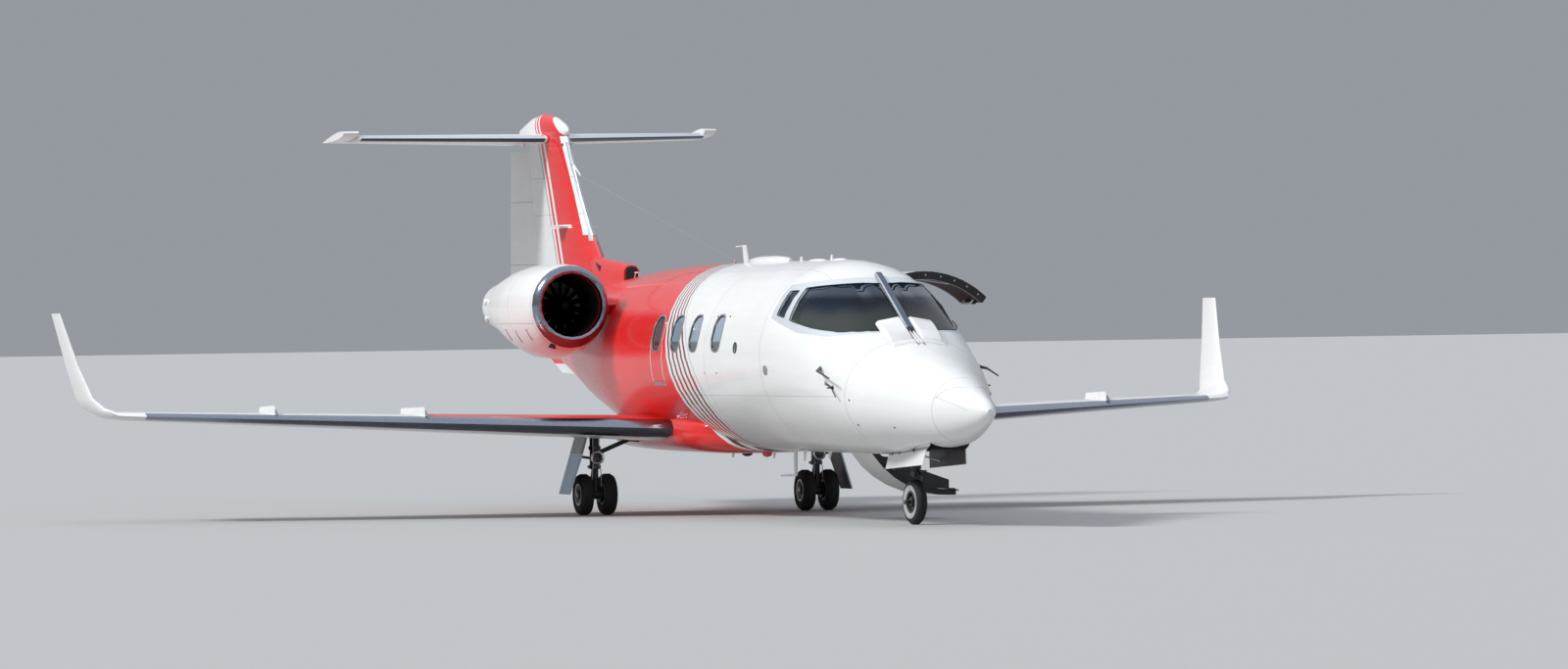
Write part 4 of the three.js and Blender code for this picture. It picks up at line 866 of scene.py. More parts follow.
def lathe(profile, origin, axis, sides=40):
    """A body turned about an axis from (radius, distance along it) pairs."""
    least = 1e-5
    axis = Vector(axis).normalized()
    side = axis.orthogonal().normalized()
    other = axis.cross(side)
    rings = []
    for radius, along in profile:
        middle = Vector(origin) + axis * along
        reach = max(radius, least)
        rings.append([middle + (side * math.cos(t) + other * math.sin(t)) * reach for t in turns(sides)])
    return loft(rings)


def slab(outline, offset):
    """A plate from an outline of points and the vector through its thickness."""
    offset = Vector(offset)
    front = [Vector(p) for p in outline]
    return loft([front, [p + offset for p in front]])


def block(low, high):
    """A box between two corners."""
    (x0, y0, z0), (x1, y1, z1) = low, high
    return slab([(x0, y0, z0), (x1, y0, z0), (x1, y1, z0), (x0, y1, z0)], (0, 0, z1 - z0))


def together(*parts):
    """Several shapes as the points and faces of one piece."""
    points, faces = [], []
    for more_points, more_faces in parts:
        start = len(points)
        points += list(more_points)
        faces += [tuple(start + i for i in face) for face in more_faces]
    return points, faces


def rounded(cx, cz, width, height, corner, steps=6):
    """A rounded rectangle's outline."""
    outline = []
    for sx, sz, start in ((1, 1, 0), (-1, 1, 90), (-1, -1, 180), (1, -1, 270)):
        for k in range(steps + 1):
            angle = math.radians(start + 90 * k / steps)
            outline.append((
                cx + sx * (width / 2 - corner) + corner * math.cos(angle),
                cz + sz * (height / 2 - corner) + corner * math.sin(angle),
            ))
    return outline


def dome(middle, out, radius, height, sides=20):
    """A low round bump on a surface."""
    foot = -0.012
    profile = [(radius, foot), (radius, 0.0), (radius * 0.9, height * 0.55), (radius * 0.6, height * 0.88)]
    return lathe(profile + [(radius * 0.2, height)], middle, out, sides)


def joined(name, shapes, finish, body="airframe", **options):
    """One piece made of several shapes."""
    return piece(name, *together(*shapes), finish, body, **options)


# The fuselage's own surface, for what lies on it


def row_at(rows, x):
    """The number of the last row, ahead of the end, that X lies behind."""
    k = 0
    while k < len(rows) - 2 and rows[k + 1][0] > x:
        k += 1
    return k


def hull(x):
    """Half width, crown, belly and widest line at X, eased between the rows as in the source."""
    k = row_at(BODY, x)
    x0, x1 = BODY[k][0], BODY[k + 1][0]
    t = (x - x0) / (x1 - x0)

    def slope(i, c, straight):
        """The slope at a row: level at a turning point, and at most three times the straight line's."""
        if i == 0 or i == len(BODY) - 1:
            return straight
        s = (BODY[i + 1][c] - BODY[i - 1][c]) / (BODY[i + 1][0] - BODY[i - 1][0])
        if s * straight <= 0:
            return 0.0
        return math.copysign(min(abs(s), 3 * abs(straight)), s)

    sizes = []
    for c in range(1, 5):
        v0, v1 = BODY[k][c], BODY[k + 1][c]
        straight = (v1 - v0) / (x1 - x0)
        s0, s1 = slope(k, c, straight), slope(k + 1, c, straight)
        bend = (x1 - x0) * (s0 * t * (1 - t) ** 2 - s1 * t * t * (1 - t))
        sizes.append(v0 * (1 + 2 * t) * (1 - t) ** 2 + v1 * t * t * (3 - 2 * t) + bend)
    return sizes


def hull_level(x, y, z):
    """1 on the skin, less inside it and more outside."""
    half, crown, belly, middle = hull(x)
    rise = crown - middle if z > middle else middle - belly
    return math.hypot(y / half, (z - middle) / rise)


def hull_normal(point):
    """The skin's own direction at a point of the packed frame, or None away from the skin."""
    x, y, z = point.x + OFFSET, point.y, point.z
    if not TAIL_END + 0.01 < x < TIP - 0.01 or abs(hull_level(x, y, z) - 1) > SKIN_BAND:
        return None
    step = 0.004
    return Vector((
        hull_level(x + step, y, z) - hull_level(x - step, y, z),
        hull_level(x, y + step, z) - hull_level(x, y - step, z),
        hull_level(x, y, z + step) - hull_level(x, y, z - step),
    )).normalized()


def on_side(x, z, side, rise=0.0):
    """A point on the fuselage's side at X and Z, lifted along the skin's direction."""
    half, crown, belly, middle = hull(x)
    share = (z - middle) / (crown - middle if z > middle else middle - belly)
    y = side * half * math.sqrt(max(0.0, 1 - share * share))
    point = at(x, y, z)
    return point + (hull_normal(point) or Vector((0, side, 0))) * rise


def on_top(x, y, rise=0.0, below=False):
    """A point on the crown or the belly at X and Y."""
    half, crown, belly, middle = hull(x)
    span = math.sqrt(max(0.0, 1 - (y / half) ** 2))
    point = at(x, y, middle - (middle - belly) * span if below else middle + (crown - middle) * span)
    return point + (hull_normal(point) or Vector((0, 0, -1 if below else 1))) * rise


def skin_patch(x, z, side, width, height, rise, steps=16):
    """An oval plate that follows the side of the fuselage."""
    rings = []
    for share, lift in ((1.0, -0.003), (1.0, rise * 0.6), (0.92, rise), (0.5, rise), (0.02, rise)):
        rings.append([
            on_side(x + width / 2 * share * math.cos(t), z + height / 2 * share * math.sin(t), side, lift)
            for t in turns(steps)
        ])
    return loft(rings)


def skin_rim(outline, side, band, rise, sunk=-0.004):
    """A raised flat rim, band wide, that lies round an outline on the side of the fuselage."""
    cx = sum(p[0] for p in outline) / len(outline)
    cz = sum(p[1] for p in outline) / len(outline)
    rings = []
    for x, z in outline:
        away = math.hypot(x - cx, z - cz)
        ux, uz = (x - cx) / away, (z - cz) / away
        section = ((-0.002, sunk), (-0.001, rise), (band, rise), (band + 0.003, sunk))
        rings.append([on_side(x + ux * out, z + uz * out, side, lift) for out, lift in section])
    return loft(rings, closed=True)


def lying(path, side, rise, step=0.04):
    """Points on the fuselage's side along straight runs of X and height."""
    points = []
    for (x0, z0), (x1, z1) in zip(path, path[1:]):
        count = max(2, int((x1 - x0) / step))
        for k in range(count):
            points.append(on_side(x0 + (x1 - x0) * k / count, z0 + (z1 - z0) * k / count, side, rise))
    return points + [on_side(*path[-1], side, rise)]


# Fuselage


def build_fuselage():
    """Dresses the fuselage skins and what lies on them."""
    dressed("radome", "fuselage_paint", normal=hull_normal)
    dressed("nose_section", ["fuselage_paint", "gear_black_and_painted_shade"], normal=hull_normal, zone=nose_zone)
    dressed("tail_section", ["fuselage_paint", "gear_black_and_painted_shade"], normal=hull_normal, zone=tail_zone)
    finishes = ["fuselage_paint", "cabin_lining", "carpet", "rubber_seal", "white_paint"]
    dressed("cabin_shell", finishes, normal=hull_normal, zone=cabin_zone)
    dressed("belly_fairing", "fuselage_paint", sharp=55)
    for _, name in SIDES:
        dressed("windshield_duct_" + name, "white_paint", sharp=70, bevel=0.006)
    for side, name in SIDES:
        skin_details(side, name)
    crown_details()


def cabin_zone(middle, normal):
    """Paint outside, lining and carpet inside, dark rims of the doorway and well, and a white crown patch."""
    paint, lining, carpet, dark, white = range(5)
    x, y, z = middle.x + OFFSET, middle.y, middle.z
    level = hull_level(x, y, z)
    if level > 1.012 and z > 2.5:
        return white
    if x > 6.7 and z < 1.02 and abs(y) < 0.22:
        return dark
    if level > 0.965 or x < -0.55 or x > 7.06:
        return paint
    if normal.z > 0.9 and z < 1.15:
        return carpet
    if 4.0 < x < 4.8 and y > 0.2 and abs(normal.x) > 0.9:
        return dark
    return lining if level < 0.945 else paint


def nose_zone(middle, normal):
    """The wheel well is dark."""
    x, y, z = middle.x + OFFSET, middle.y, middle.z
    return int(abs(y) < 0.2155 and z < 1.0105 and x < 8.13 and hull_level(x, y, z) < 0.985)


def tail_zone(middle, normal):
    """The inside of the tail and of the ridge's scoop is dark."""
    x, y, z = middle.x + OFFSET, middle.y, middle.z
    scoop = abs(y) < 0.0605 and 2.589 < z < 2.671 and -2.91 < x < -2.59
    return int(scoop or x > -5.61 and hull_level(x, y, z) < 0.965)


# Places on the fuselage's side as X and height. The oval plates have a width and a height besides
STATIC_PLATES = ((5.154, 1.565, 0.115, 0.100), (6.701, 1.438, 0.050, 0.050))
STUDS = (
    (3.321, 2.122), (3.745, 2.121), (3.088, 1.530), (3.497, 1.531), (7.194, 1.014), (7.813, 0.992),
    (7.182, 1.266),
)
STRIPS = (
    ((8.540, 1.295), (9.060, 1.168)),
    ((8.515, 1.278), (8.570, 1.338), (8.670, 1.387), (8.800, 1.390)),
)
HATCH_FOOT = ((1.21, 1.440), (1.59, 1.440), (1.585, 1.395), (1.205, 1.395))


def skin_details(side, name):
    """Small plates and studs, the radome's conductor strips and the plate at the hatch's foot."""
    plates = [skin_patch(x, z, side, width, height, 0.004) for x, z, width, height in STATIC_PLATES]
    joined("static_plate_" + name, plates, "satin_metal")
    studs = [skin_patch(x, z, side, 0.020, 0.020, 0.002, 10) for x, z in STUDS]
    joined("skin_studs_" + name, studs, "dark_metal")
    strips = [sweep(lying(path, side, 0.0003), 0.0018, 6) for path in STRIPS]
    joined("radome_strips_" + name, strips, "satin_metal")
    foot = [on_side(x, z, side, 0.001) for x, z in HATCH_FOOT]
    piece("hatch_plate_" + name, *slab(foot, (0, side * 0.002, 0)), "satin_metal")


def crown_bump(x0, x1, half):
    """A long low bump on the crown between two places, rounded at both ends."""
    low, high, steps, sides = -0.006, 0.024, 8, 10
    rings = []
    for k in range(steps + 1):
        x = x0 + (x1 - x0) * k / steps
        swell = math.sin(math.pi * (k + 0.15) / (steps + 0.3)) ** 0.5
        base = on_top(x, 0).z + low
        arc = [math.pi * i / sides for i in range(sides + 1)]
        rings.append([at(x, half * swell * math.cos(t), base + high * swell * math.sin(t)) for t in arc])
    return loft(rings)


def crown_details():
    """The bumps, the slot and the small aerial on the crown, and the ridge's scoop and vents."""
    joined("crown_bumps", [crown_bump(3.70, 4.25, 0.055), crown_bump(4.51, 4.90, 0.060)], "white_paint")
    piece("crown_slot", *block(at(1.72, -0.03, 2.684), at(2.02, 0.03, 2.690)), "rubber_seal")
    small_aerial = [
        sweep([at(-2.37, 0, 2.545), at(-2.37, 0, 2.618)], 0.006, 8),
        sweep([at(-2.560, 0, 2.540), at(-2.490, 0, 2.618)], 0.006, 8),
        block(at(-2.505, -0.012, 2.612), at(-2.355, 0.012, 2.624)),
    ]
    joined("small_aerial", small_aerial, "white_paint")
    mouth = [(0.070, 2.545), (0.070, 2.632), (0.042, 2.674), (0.0, 2.684)]
    outline = mouth + [(-y, z) for y, z in reversed(mouth[:-1])]
    front = [at(-2.646 + 0.10 * (2.684 - z), y, z) for y, z in outline]
    rear = [at(-2.660, y, z) for y, z in outline]
    # A dark sheet across the scoop's mouth: painted shade of its opening.
    piece("scoop_mouth", *loft([front, rear]), "rubber_seal")
    for side, name in SIDES:
        # Dark triangles on the ridge: painted shade of the vents' openings.
        vent = [at(x, side * 0.0925, z) for x, z in ((-3.51, 2.700), (-3.741, 2.745), (-3.576, 2.640))]
        piece("ridge_vent_" + name, *slab(vent, (0, side * 0.002, 0)), "rubber_seal")


# Glazing


def pane_path(outline):
    """Points round a cockpit pane as X, Y or None, and Z. Y is given where the pane meets the post."""
    longest = 0.05
    path = []
    for (x0, z0), (x1, z1) in zip(outline, outline[1:] + outline[:1]):
        steps = max(2, int(math.hypot(x1 - x0, z1 - z0) / longest))
        for n in range(steps):
            x, z = x0 + (x1 - x0) * n / steps, z0 + (z1 - z0) * n / steps
            half, crown, belly, middle = hull(x)
            edge = middle + (crown - middle) * math.sqrt(1 - (POST_HALF / half) ** 2)
            path.append((x, POST_HALF if z >= edge else None, min(z, edge)))
    return path


# The post between the windshields: its section and the dark blue-grey sheet on it, a painted reflection of
# the sky, as Y and lift off the crown
POST = ((-0.037, 0.001), (-0.033, 0.016), (-0.022, 0.026), (0.022, 0.026), (0.033, 0.016), (0.037, 0.001))
POST_REFLECTION_SHEET = ((-0.024, 0.0255), (-0.021, 0.0275), (0.032, 0.0275), (0.0375, 0.006), (0.033, 0.004))


def post_strip(stations, section, raised=1.0):
    """A strip along the crown through stations of X."""
    return loft([[on_top(x, y, rise * raised) for y, rise in section] for x in stations])


def build_cockpit_glazing():
    """Dresses the windshield with its post, seals and ducts."""
    for side, name in SIDES:
        dressed("cockpit_glazing_" + name, "cockpit_pane", normal=hull_normal)
        seals = []
        for outline in (WINDSHIELD, QUARTER):
            path = pane_path(outline)
            points = [on_side(x, z, side) if y is None else on_top(x, side * y) for x, y, z in path]
            seals.append(sweep(points, bpy.context.scene.aircraft_detail.gasket, 8, closed=True))
        joined("pane_seals_" + name, seals, "rubber_seal")
    head, foot, steps = 5.92, 6.92, 18
    stations = [head + (foot - head) * k / steps for k in range(steps + 1)]
    piece("centre_post", *post_strip(stations, POST), "polished_metal", sharp=70)
    # A dark blue-grey sheet over the post, a painted reflection of the sky.
    piece("centre_post_reflection_sheet", *post_strip(stations, POST_REFLECTION_SHEET), "post_grey")
    piece("centre_post_foot", *post_strip((6.900, 6.935, 6.965), POST, 1.12), "rubber_seal", bevel=0.003)
    run = [6.95 + 0.045 * k for k in range(8)]
    tubes = [sweep([on_top(x, y, 0.012) for x in run], 0.009, 10) for y in (-0.018, 0.018)]
    joined("drain_tubes", tubes, "white_paint")
    for side, name in SIDES:
        ys = [side * (0.040 + 0.026 * k) for k in range(10)]
        rings = []
        for x, rise in ((7.235, 0.002), (7.225, 0.010), (7.150, 0.012), (7.120, 0.010)):
            rings.append([on_top(x, y, rise) for y in ys] + [on_top(x, y, -0.004) for y in reversed(ys)])
        piece("duct_step_" + name, *loft(rings), "white_paint")


def build_cabin_windows():
    """Dresses the cabin windows with their frames and seals."""
    inset = 0.006
    width, height, corner = WINDOW["width"], WINDOW["height"], WINDOW["corner"]
    for side, name in SIDES:
        dressed("cabin_windows_" + name, "cabin_pane", normal=hull_normal)
        frames, seals = [], []
        for x in WINDOW_XS:
            frames.append(skin_rim(rounded(x, WINDOW["z"], width, height, corner), side, 0.016, 0.0025))
            inner = rounded(x, WINDOW["z"], width - 2 * inset, height - 2 * inset, corner - inset)
            seals.append(sweep([on_side(px, pz, side, -inset) for px, pz in inner], 0.0045, 6, closed=True))
        if side < 0:
            size = PORT_HOLE["size"]
            hole = rounded(PORT_HOLE["x"], PORT_HOLE["z"], size, size, PORT_HOLE["corner"])
            seals.append(skin_rim(hole, side, 0.012, 0.003))
        joined("window_frames_" + name, frames, "satin_metal")
        joined("window_seals_" + name, seals, "rubber_seal")


# Doors. Each piece is made on the closed door's section and turned to where the open door holds it

DOOR_BACK = DOOR["back"] + DOOR["edge"]
DOOR_FRONT = DOOR["front"] - DOOR["edge"]
DOOR_STEPS = 22


def swung(points, hinge, way=1):
    """Points of the closed door turned to where the open door holds them, or back again."""
    pivot = Vector((0, hinge["y"], hinge["z"]))
    turn = Matrix.Rotation(math.radians(way * hinge["open"]), 4, "X")
    return [turn @ (Vector(p) - pivot) + pivot for p in points]


def door_level(point, hinge):
    """How far out a point of the open door lies on the closed door's section."""
    closed = swung([point], hinge, -1)[0]
    return hull_level(closed.x + OFFSET, closed.y, closed.z)


def door_ring(x, low, high, lift):
    """Points up the door's section at X between two heights of the closed door."""
    return [on_side(x, low + (high - low) * k / DOOR_STEPS, 1, lift) for k in range(DOOR_STEPS + 1)]


def door_sheet(x0, x1, low, high, near, far):
    """A curved sheet inside the door, between two depths below the skin."""
    return loft([door_ring(x, low, high, near) + door_ring(x, low, high, far)[::-1] for x in (x0, x1)])


def door_edges(low, high, near, far, half=0.0015):
    """The thin dark sheets on a door's rear and front edges."""
    return [door_sheet(x - half, x + half, low, high, near, far) for x in (DOOR_BACK, DOOR_FRONT)]


def build_upper_door():
    """Dresses the upper half of the door."""
    low, high = DOOR["split"] + 0.004, UPPER_HINGE["z"] - 0.030
    dressed("upper_door", ["fuselage_paint", "rubber_seal"], sharp=24,
            zone=lambda middle, normal: int(door_level(middle, UPPER_HINGE) <= 0.985))

    def add(name, shapes, finish, **options):
        points, faces = together(*shapes)
        piece("upper_door_" + name, swung(points, UPPER_HINGE), faces, finish, "upper_door", **options)

    sheet = door_sheet(DOOR_BACK + 0.045, DOOR_FRONT - 0.045, low + 0.05, high - 0.03, -0.071, -0.083)
    # The lining's dark brown is partly painted shade.
    add("lining", [sheet], "door_lining_and_painted_shade", bevel=0.003)
    add("edges", door_edges(low, high, -0.002, -0.078), "rubber_seal")
    rims = [sweep(door_ring(x, low + 0.02, high - 0.02, -0.082), 0.006, 8)
            for x in (DOOR_BACK + 0.03, DOOR_FRONT - 0.03)]
    add("rims", rims, "satin_metal")
    first, last, count = low + 0.09, high - 0.07, 6
    heads = []
    for k in range(count):
        point = on_side(DOOR_FRONT, first + (last - first) * k / (count - 1), 1, -0.040)
        profile = [(0.009, -0.001), (0.009, 0.003), (0.004, 0.005)]
        heads.append(lathe(profile, point + Vector((0.0015, 0, 0)), FORWARD, 12))
    add("bolts", heads, "satin_metal")
    grip = [(4.30, -0.080), (4.30, -0.125), (4.56, -0.125), (4.56, -0.080)]
    add("handle", [sweep([on_side(x, 1.60, 1, lift) for x, lift in grip], 0.011, 10)], "white_paint")
    strut = sweep([on_side(4.70, 1.98, 1, -0.085), on_side(4.70, 2.30, 1, -0.085)], 0.010, 10)
    rod = sweep([on_side(4.70, 2.28, 1, -0.085), on_side(4.70, 2.42, 1, -0.080)], 0.005, 8)
    add("strut", [strut, rod], "satin_metal")


def lower_door_zone(middle, normal):
    """Outer skin, inner face with its black edges, and the treads."""
    skin, inside, tread = range(3)
    level = door_level(middle, LOWER_HINGE)
    if level > 0.985:
        return skin
    return tread if normal.z > 0.9 and level < 0.90 else inside


# Treads of the open lower door: inner and outer Y, height
TREADS = ((0.430, 0.650, 0.640), (0.690, 0.920, 0.500), (0.960, 1.160, 0.385))


def build_lower_door():
    """Dresses the lower half of the door and its steps."""
    dressed("lower_door", ["white_paint", "gear_black_and_painted_shade", "step_grip"], sharp=24, zone=lower_door_zone)
    low, high = LOWER_HINGE["z"] + 0.050, DOOR["split"] - 0.006

    def add(name, shapes, finish):
        points, faces = together(*shapes)
        piece("lower_door_" + name, swung(points, LOWER_HINGE), faces, finish, "lower_door")

    add("edges", door_edges(low, high, -0.004, -0.062), "rubber_seal")
    rims = [sweep(door_ring(x, low, high, -0.064), 0.005, 8) for x in (DOOR_BACK + 0.02, DOOR_FRONT - 0.02)]
    add("rims", rims, "satin_metal")
    ribs, half, margin = 6, 0.006, 0.020
    treads = []
    for y0, y1, z in TREADS:
        for k in range(ribs):
            y = y0 + margin + (y1 - y0 - 2 * margin) * k / (ribs - 1)
            treads.append(block(at(4.135, y - half, z), at(4.665, y + half, z + 0.003)))
        treads.append(sweep([at(4.120, y1, z - 0.004), at(4.680, y1, z - 0.004)], 0.007, 8))
    joined("tread_grips", treads, "satin_metal", "lower_door")
    latch = [at(4.646, 1.195, 0.300), at(4.716, 1.215, 0.296), at(4.731, 1.250, 0.290)]
    piece("lower_door_latch", *sweep(latch, 0.012, 10), "satin_metal", "lower_door")


def build_doorway():
    """Adds the dark seal round the doorway, in the fuselage."""
    heights = [0.80 + 0.055 * k for k in range(30)]
    ring = [(DOOR["back"] - 0.010, z) for z in heights]
    ring += [(DOOR["front"] + 0.010, z) for z in reversed(heights)]
    seal = sweep([on_side(x, z, 1, -0.004) for x, z in ring], 0.006, 8, closed=True)
    piece("doorway_seal", *seal, "rubber_seal")


# Cabin


def build_cabin():
    """Dresses the cockpit's panel and adds its displays, control wheels and levers."""
    dressed("instrument_panel", "panel_black", bevel=0.008)
    ys = (-0.46, -0.23, 0.0, 0.23, 0.46)
    glass = [block(at(6.4035, y - 0.085, 1.49), at(6.4190, y + 0.085, 1.69)) for y in ys]
    joined("flight_displays", glass, "display_glass", bevel=0.004)
    horn = ((6.225, 0.010, 1.520), (6.215, 0.110, 1.520), (6.195, 0.150, 1.560), (6.180, 0.155, 1.620))
    for side, name in SIDES:
        y = side * CREW_Y
        shapes = [sweep([at(6.400, y, 1.500), at(6.230, y, 1.520)], 0.016, 12)]
        for way in (1, -1):
            shapes.append(sweep([at(x, y + way * out, z) for x, out, z in horn], 0.012, 10))
        joined("control_wheel_" + name, shapes, "panel_black")
    places = [(0.03 * k, y) for k, y in enumerate((-0.040, -0.014, 0.014, 0.040))]
    levers = [sweep([at(6.06 + x, y, 1.405), at(6.08 + x, y, 1.475)], 0.007, 8) for x, y in places]
    knobs = [dome(at(6.08 + x, y, 1.470), UP, 0.013, 0.018, 12) for x, y in places]
    joined("thrust_levers", levers + knobs, "satin_metal")


def filled(obj, cap, resting):
    """Lets a pad's cover fill out as cloth under pressure. Points below the resting height keep their place,
    and none moves further than the cap."""
    scene = bpy.context.scene
    grid = obj.modifiers.new("Even", "REMESH")
    grid.mode = "VOXEL"
    grid.voxel_size = 0.009
    even = bpy.data.meshes.new_from_object(obj.evaluated_get(bpy.context.evaluated_depsgraph_get()))
    obj.modifiers.clear()
    finish = obj.data.materials[0]
    obj.data = even
    even.materials.clear()
    even.materials.append(finish)
    held = obj.vertex_groups.new(name="held")
    held.add([v.index for v in even.vertices if v.co.z < resting], 1.0, "REPLACE")
    cover = obj.modifiers.new("Cover", "CLOTH")
    cover.settings.quality = 4
    cover.settings.use_pressure = True
    cover.settings.uniform_pressure_force = 4.0
    cover.settings.vertex_group_mass = "held"
    cover.settings.effector_weights.gravity = 0.0
    cover.collision_settings.use_collision = False
    for frame_number in range(1, scene.aircraft_detail.cloth_steps + 1):
        scene.frame_set(frame_number)
    full = bpy.data.meshes.new_from_object(obj.evaluated_get(bpy.context.evaluated_depsgraph_get()))
    for before, after in zip(even.vertices, full.vertices):
        move = after.co - before.co
        after.co = before.co + move * min(1.0, cap / max(move.length, 1e-9))
    obj.modifiers.clear()
    obj.vertex_groups.clear()
    obj.data = full
    full.polygons.foreach_set("use_smooth", [True] * len(full.polygons))
    scene.frame_set(1)


# A cushion's section below its crown, as height in half thicknesses and share of its outline
PAD_SIDE = [(-1.0, 0.93), (-0.75, 0.985), (-0.2, 1.0), (0.1, 0.99), (0.45, 1.0), (0.70, 0.975)]


def pad(name, middle, size, finish, tilt=0.0, crown=0.30, cap=0.008):
    """A crowned cushion: long, wide and thick, its top face turned about Y by the tilt, with a piped seam."""
    half_x, half_y, half_z = (v / 2 for v in size)
    turn = Matrix.Rotation(math.radians(tilt), 4, "Y")
    corners, squareness, shoulder, rise, resting = 56, 0.26, 0.70, 0.30, 0.004
    outline = []
    for k in range(corners):
        angle = 2 * math.pi * (k + 0.5) / corners
        c, s = math.cos(angle), math.sin(angle)
        outline.append((math.copysign(abs(c) ** squareness, c), math.copysign(abs(s) ** squareness, s)))
    levels = list(PAD_SIDE)
    for share in (0.9, 0.7, 0.45, 0.2):
        levels.append((shoulder + rise * (1 - share ** 2) + crown * 0.25 * (1 - share), share))

    def ring(share, height):
        points = [Vector((u * half_x * share, v * half_y * share, height * half_z)) for u, v in outline]
        return [turn @ p + Vector(middle) for p in points]

    points, faces = loft([ring(share, height) for height, share in levels])
    obj = piece(name, points, faces, finish, sharp=80)
    filled(obj, cap, min(p.z for p in points) + resting)
    soft = obj.modifiers.new("Soft", "SUBSURF")
    soft.levels = soft.render_levels = 1
    if bpy.context.scene.aircraft_detail.show_seams:
        for level, height in (("upper", 0.45), ("lower", -0.55)):
            seam = sweep(ring(1.004, height), 0.0035, 6, closed=True)
            piece(name + "_piping_" + level, *seam, finish, sharp=80)


def strap(name, path, width, thick=0.003):
    """A flat web that lies along a path of points, spread along X."""
    rings = []
    for k, middle in enumerate(path):
        before, after = path[max(k - 1, 0)], path[min(k + 1, len(path) - 1)]
        along = (after - before).normalized()
        out = Vector(FORWARD).cross(along).normalized() * (thick / 2)
        side = Vector((width / 2, 0, 0))
        rings.append([middle - side - out, middle + side - out, middle + side + out, middle - side + out])
    piece(name, *loft(rings), "webbing", sharp=50)


def build_stretcher():
    """Adds the stretcher's base, its mattress in two parts, a pillow and three straps with buckles."""
    right, left = STRETCHER["right"], STRETCHER["left"]
    middle = (right + left) / 2
    low = at(STRETCHER["back"], right, STRETCHER["low"])
    high = at(STRETCHER["front"], left, STRETCHER["high"])
    base = piece("stretcher_base", *block(low, high), "cabin_lining", bevel=0.020)
    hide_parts("stretcher")
    bracket = ((1.530, 1.150), (1.530, 1.222), (3.370, 1.222), (3.370, 1.150))
    rails = [sweep([at(x, y, z) for x, z in bracket], 0.010, 10) for y in (right - 0.012, left + 0.012)]
    joined("stretcher_rails", rails, "satin_metal")
    drawers = [block(at(x, left - 0.004, z), at(x + 0.58, left + 0.004, z + 0.130))
               for x in (1.56, 2.17, 2.78) for z in (0.93, 1.075)]
    joined("stretcher_drawers", drawers, "cabin_lining", bevel=0.004)
    pad("mattress", at(2.540, middle, 1.282), (1.760, 0.500, 0.078), "pad_vinyl", crown=0.2, cap=0.006)
    pad("head_pad", at(1.515, middle, 1.418), (0.300, 0.480, 0.070), "pad_vinyl", tilt=46, cap=0.006)
    pad("pillow", at(1.578, middle, 1.462), (0.190, 0.380, 0.050), "pillow_cotton",
        tilt=46, crown=0.9, cap=0.010)
    for number, x in enumerate((1.95, 2.50, 3.05)):
        path = [at(x, right - 0.002, 1.240), at(x, right + 0.010, 1.306)]
        for k in range(9):
            path.append(at(x, right + 0.04 + 0.42 * k / 8, 1.330 + 0.005 * math.sin(math.pi * k / 8)))
        path += [at(x, left - 0.010, 1.306), at(x, left + 0.002, 1.240)]
        strap("stretcher_strap_%d" % number, path, 0.050)
        buckle = block(at(x - 0.032, middle - 0.040, 1.334), at(x + 0.032, middle + 0.040, 1.346))
        piece("strap_buckle_%d" % number, *buckle, "satin_metal", bevel=0.003)


# A crew seat's back as X and height, and half a harness as X, distance from the seat's middle and height
SEAT_BACK = ((5.452, 1.410), (5.372, 1.440), (5.232, 2.030), (5.262, 2.040), (5.330, 1.700))
HARNESS = (
    (5.310, 0.060, 2.050), (5.352, 0.062, 2.020), (5.384, 0.070, 1.900), (5.450, 0.090, 1.700),
    (5.500, 0.110, 1.540),
)


def build_crew_seats():
    """Adds each crew seat: its base, a seat cushion, a leaning back cushion, a headrest and a harness."""
    half, foot_half = 0.196, 0.120
    for side, name in SIDES:
        y = side * CREW_Y
        lower = block(at(5.500, y - foot_half, 0.902), at(5.780, y + foot_half, 1.110))
        upper = block(at(5.462, y - half, 1.085), at(5.878, y + half, 1.385))
        back = slab([at(x, y - half, z) for x, z in SEAT_BACK], (0, 2 * half, 0))
        seat = joined("seat_base_" + name, (lower, upper, back), "panel_black", bevel=0.010)
        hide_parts("crew_seat_" + name)
        pad("seat_cushion_" + name, at(5.690, y, 1.440), (0.440, 0.380, 0.130), "seat_leather")
        pad("back_cushion_" + name, at(5.396, y, 1.700), (0.380, 0.370, 0.080), "seat_leather", tilt=74)
        pad("headrest_" + name, at(5.320, y, 1.955), (0.140, 0.230, 0.070), "headrest_fleece",
            tilt=74)
        for way in (1, -1):
            belt = [at(x, y + way * out, z) for x, out, z in HARNESS]
            runs = [sweep([p, q], 0.012, 4) for p, q in zip(belt, belt[1:])]
            joined("harness_" + name + ("_out" if way == side else "_in"), runs, "webbing", sharp=30)


# Wings, tail and engines


def build_wings():
    """Dresses the wings and their moving surfaces."""
    for _, name in SIDES:
        for part in ("wing", "flap", "aileron", "spoiler"):
            dressed(part + "_" + name, "wing_paint", sharp=62)


def build_tail():
    """Dresses the fin, the rudder, the tailplane with its elevators and the ventral fin."""
    dressed("fin", "fin_paint", sharp=50)
    dressed("rudder", "rudder_paint", sharp=50)
    dressed("tailplane", "tailplane_paint", sharp=55)
    dressed("ventral_fin", "ventral_paint", sharp=30, bevel=0.004)
    for _, name in SIDES:
        dressed("elevator_" + name, "tailplane_paint", sharp=55)


def nacelle_zone(middle, normal):
    """Behind the polished lip the faces that look inward are the intake's wall."""
    x = middle.x + OFFSET
    y, z = abs(middle.y) - ENGINE["y"], middle.z - ENGINE["z"]
    out = normal.y * math.copysign(1, middle.y) * y + normal.z * z
    return int(out < 0 and math.hypot(y, z) < 0.40 and x < -0.385)


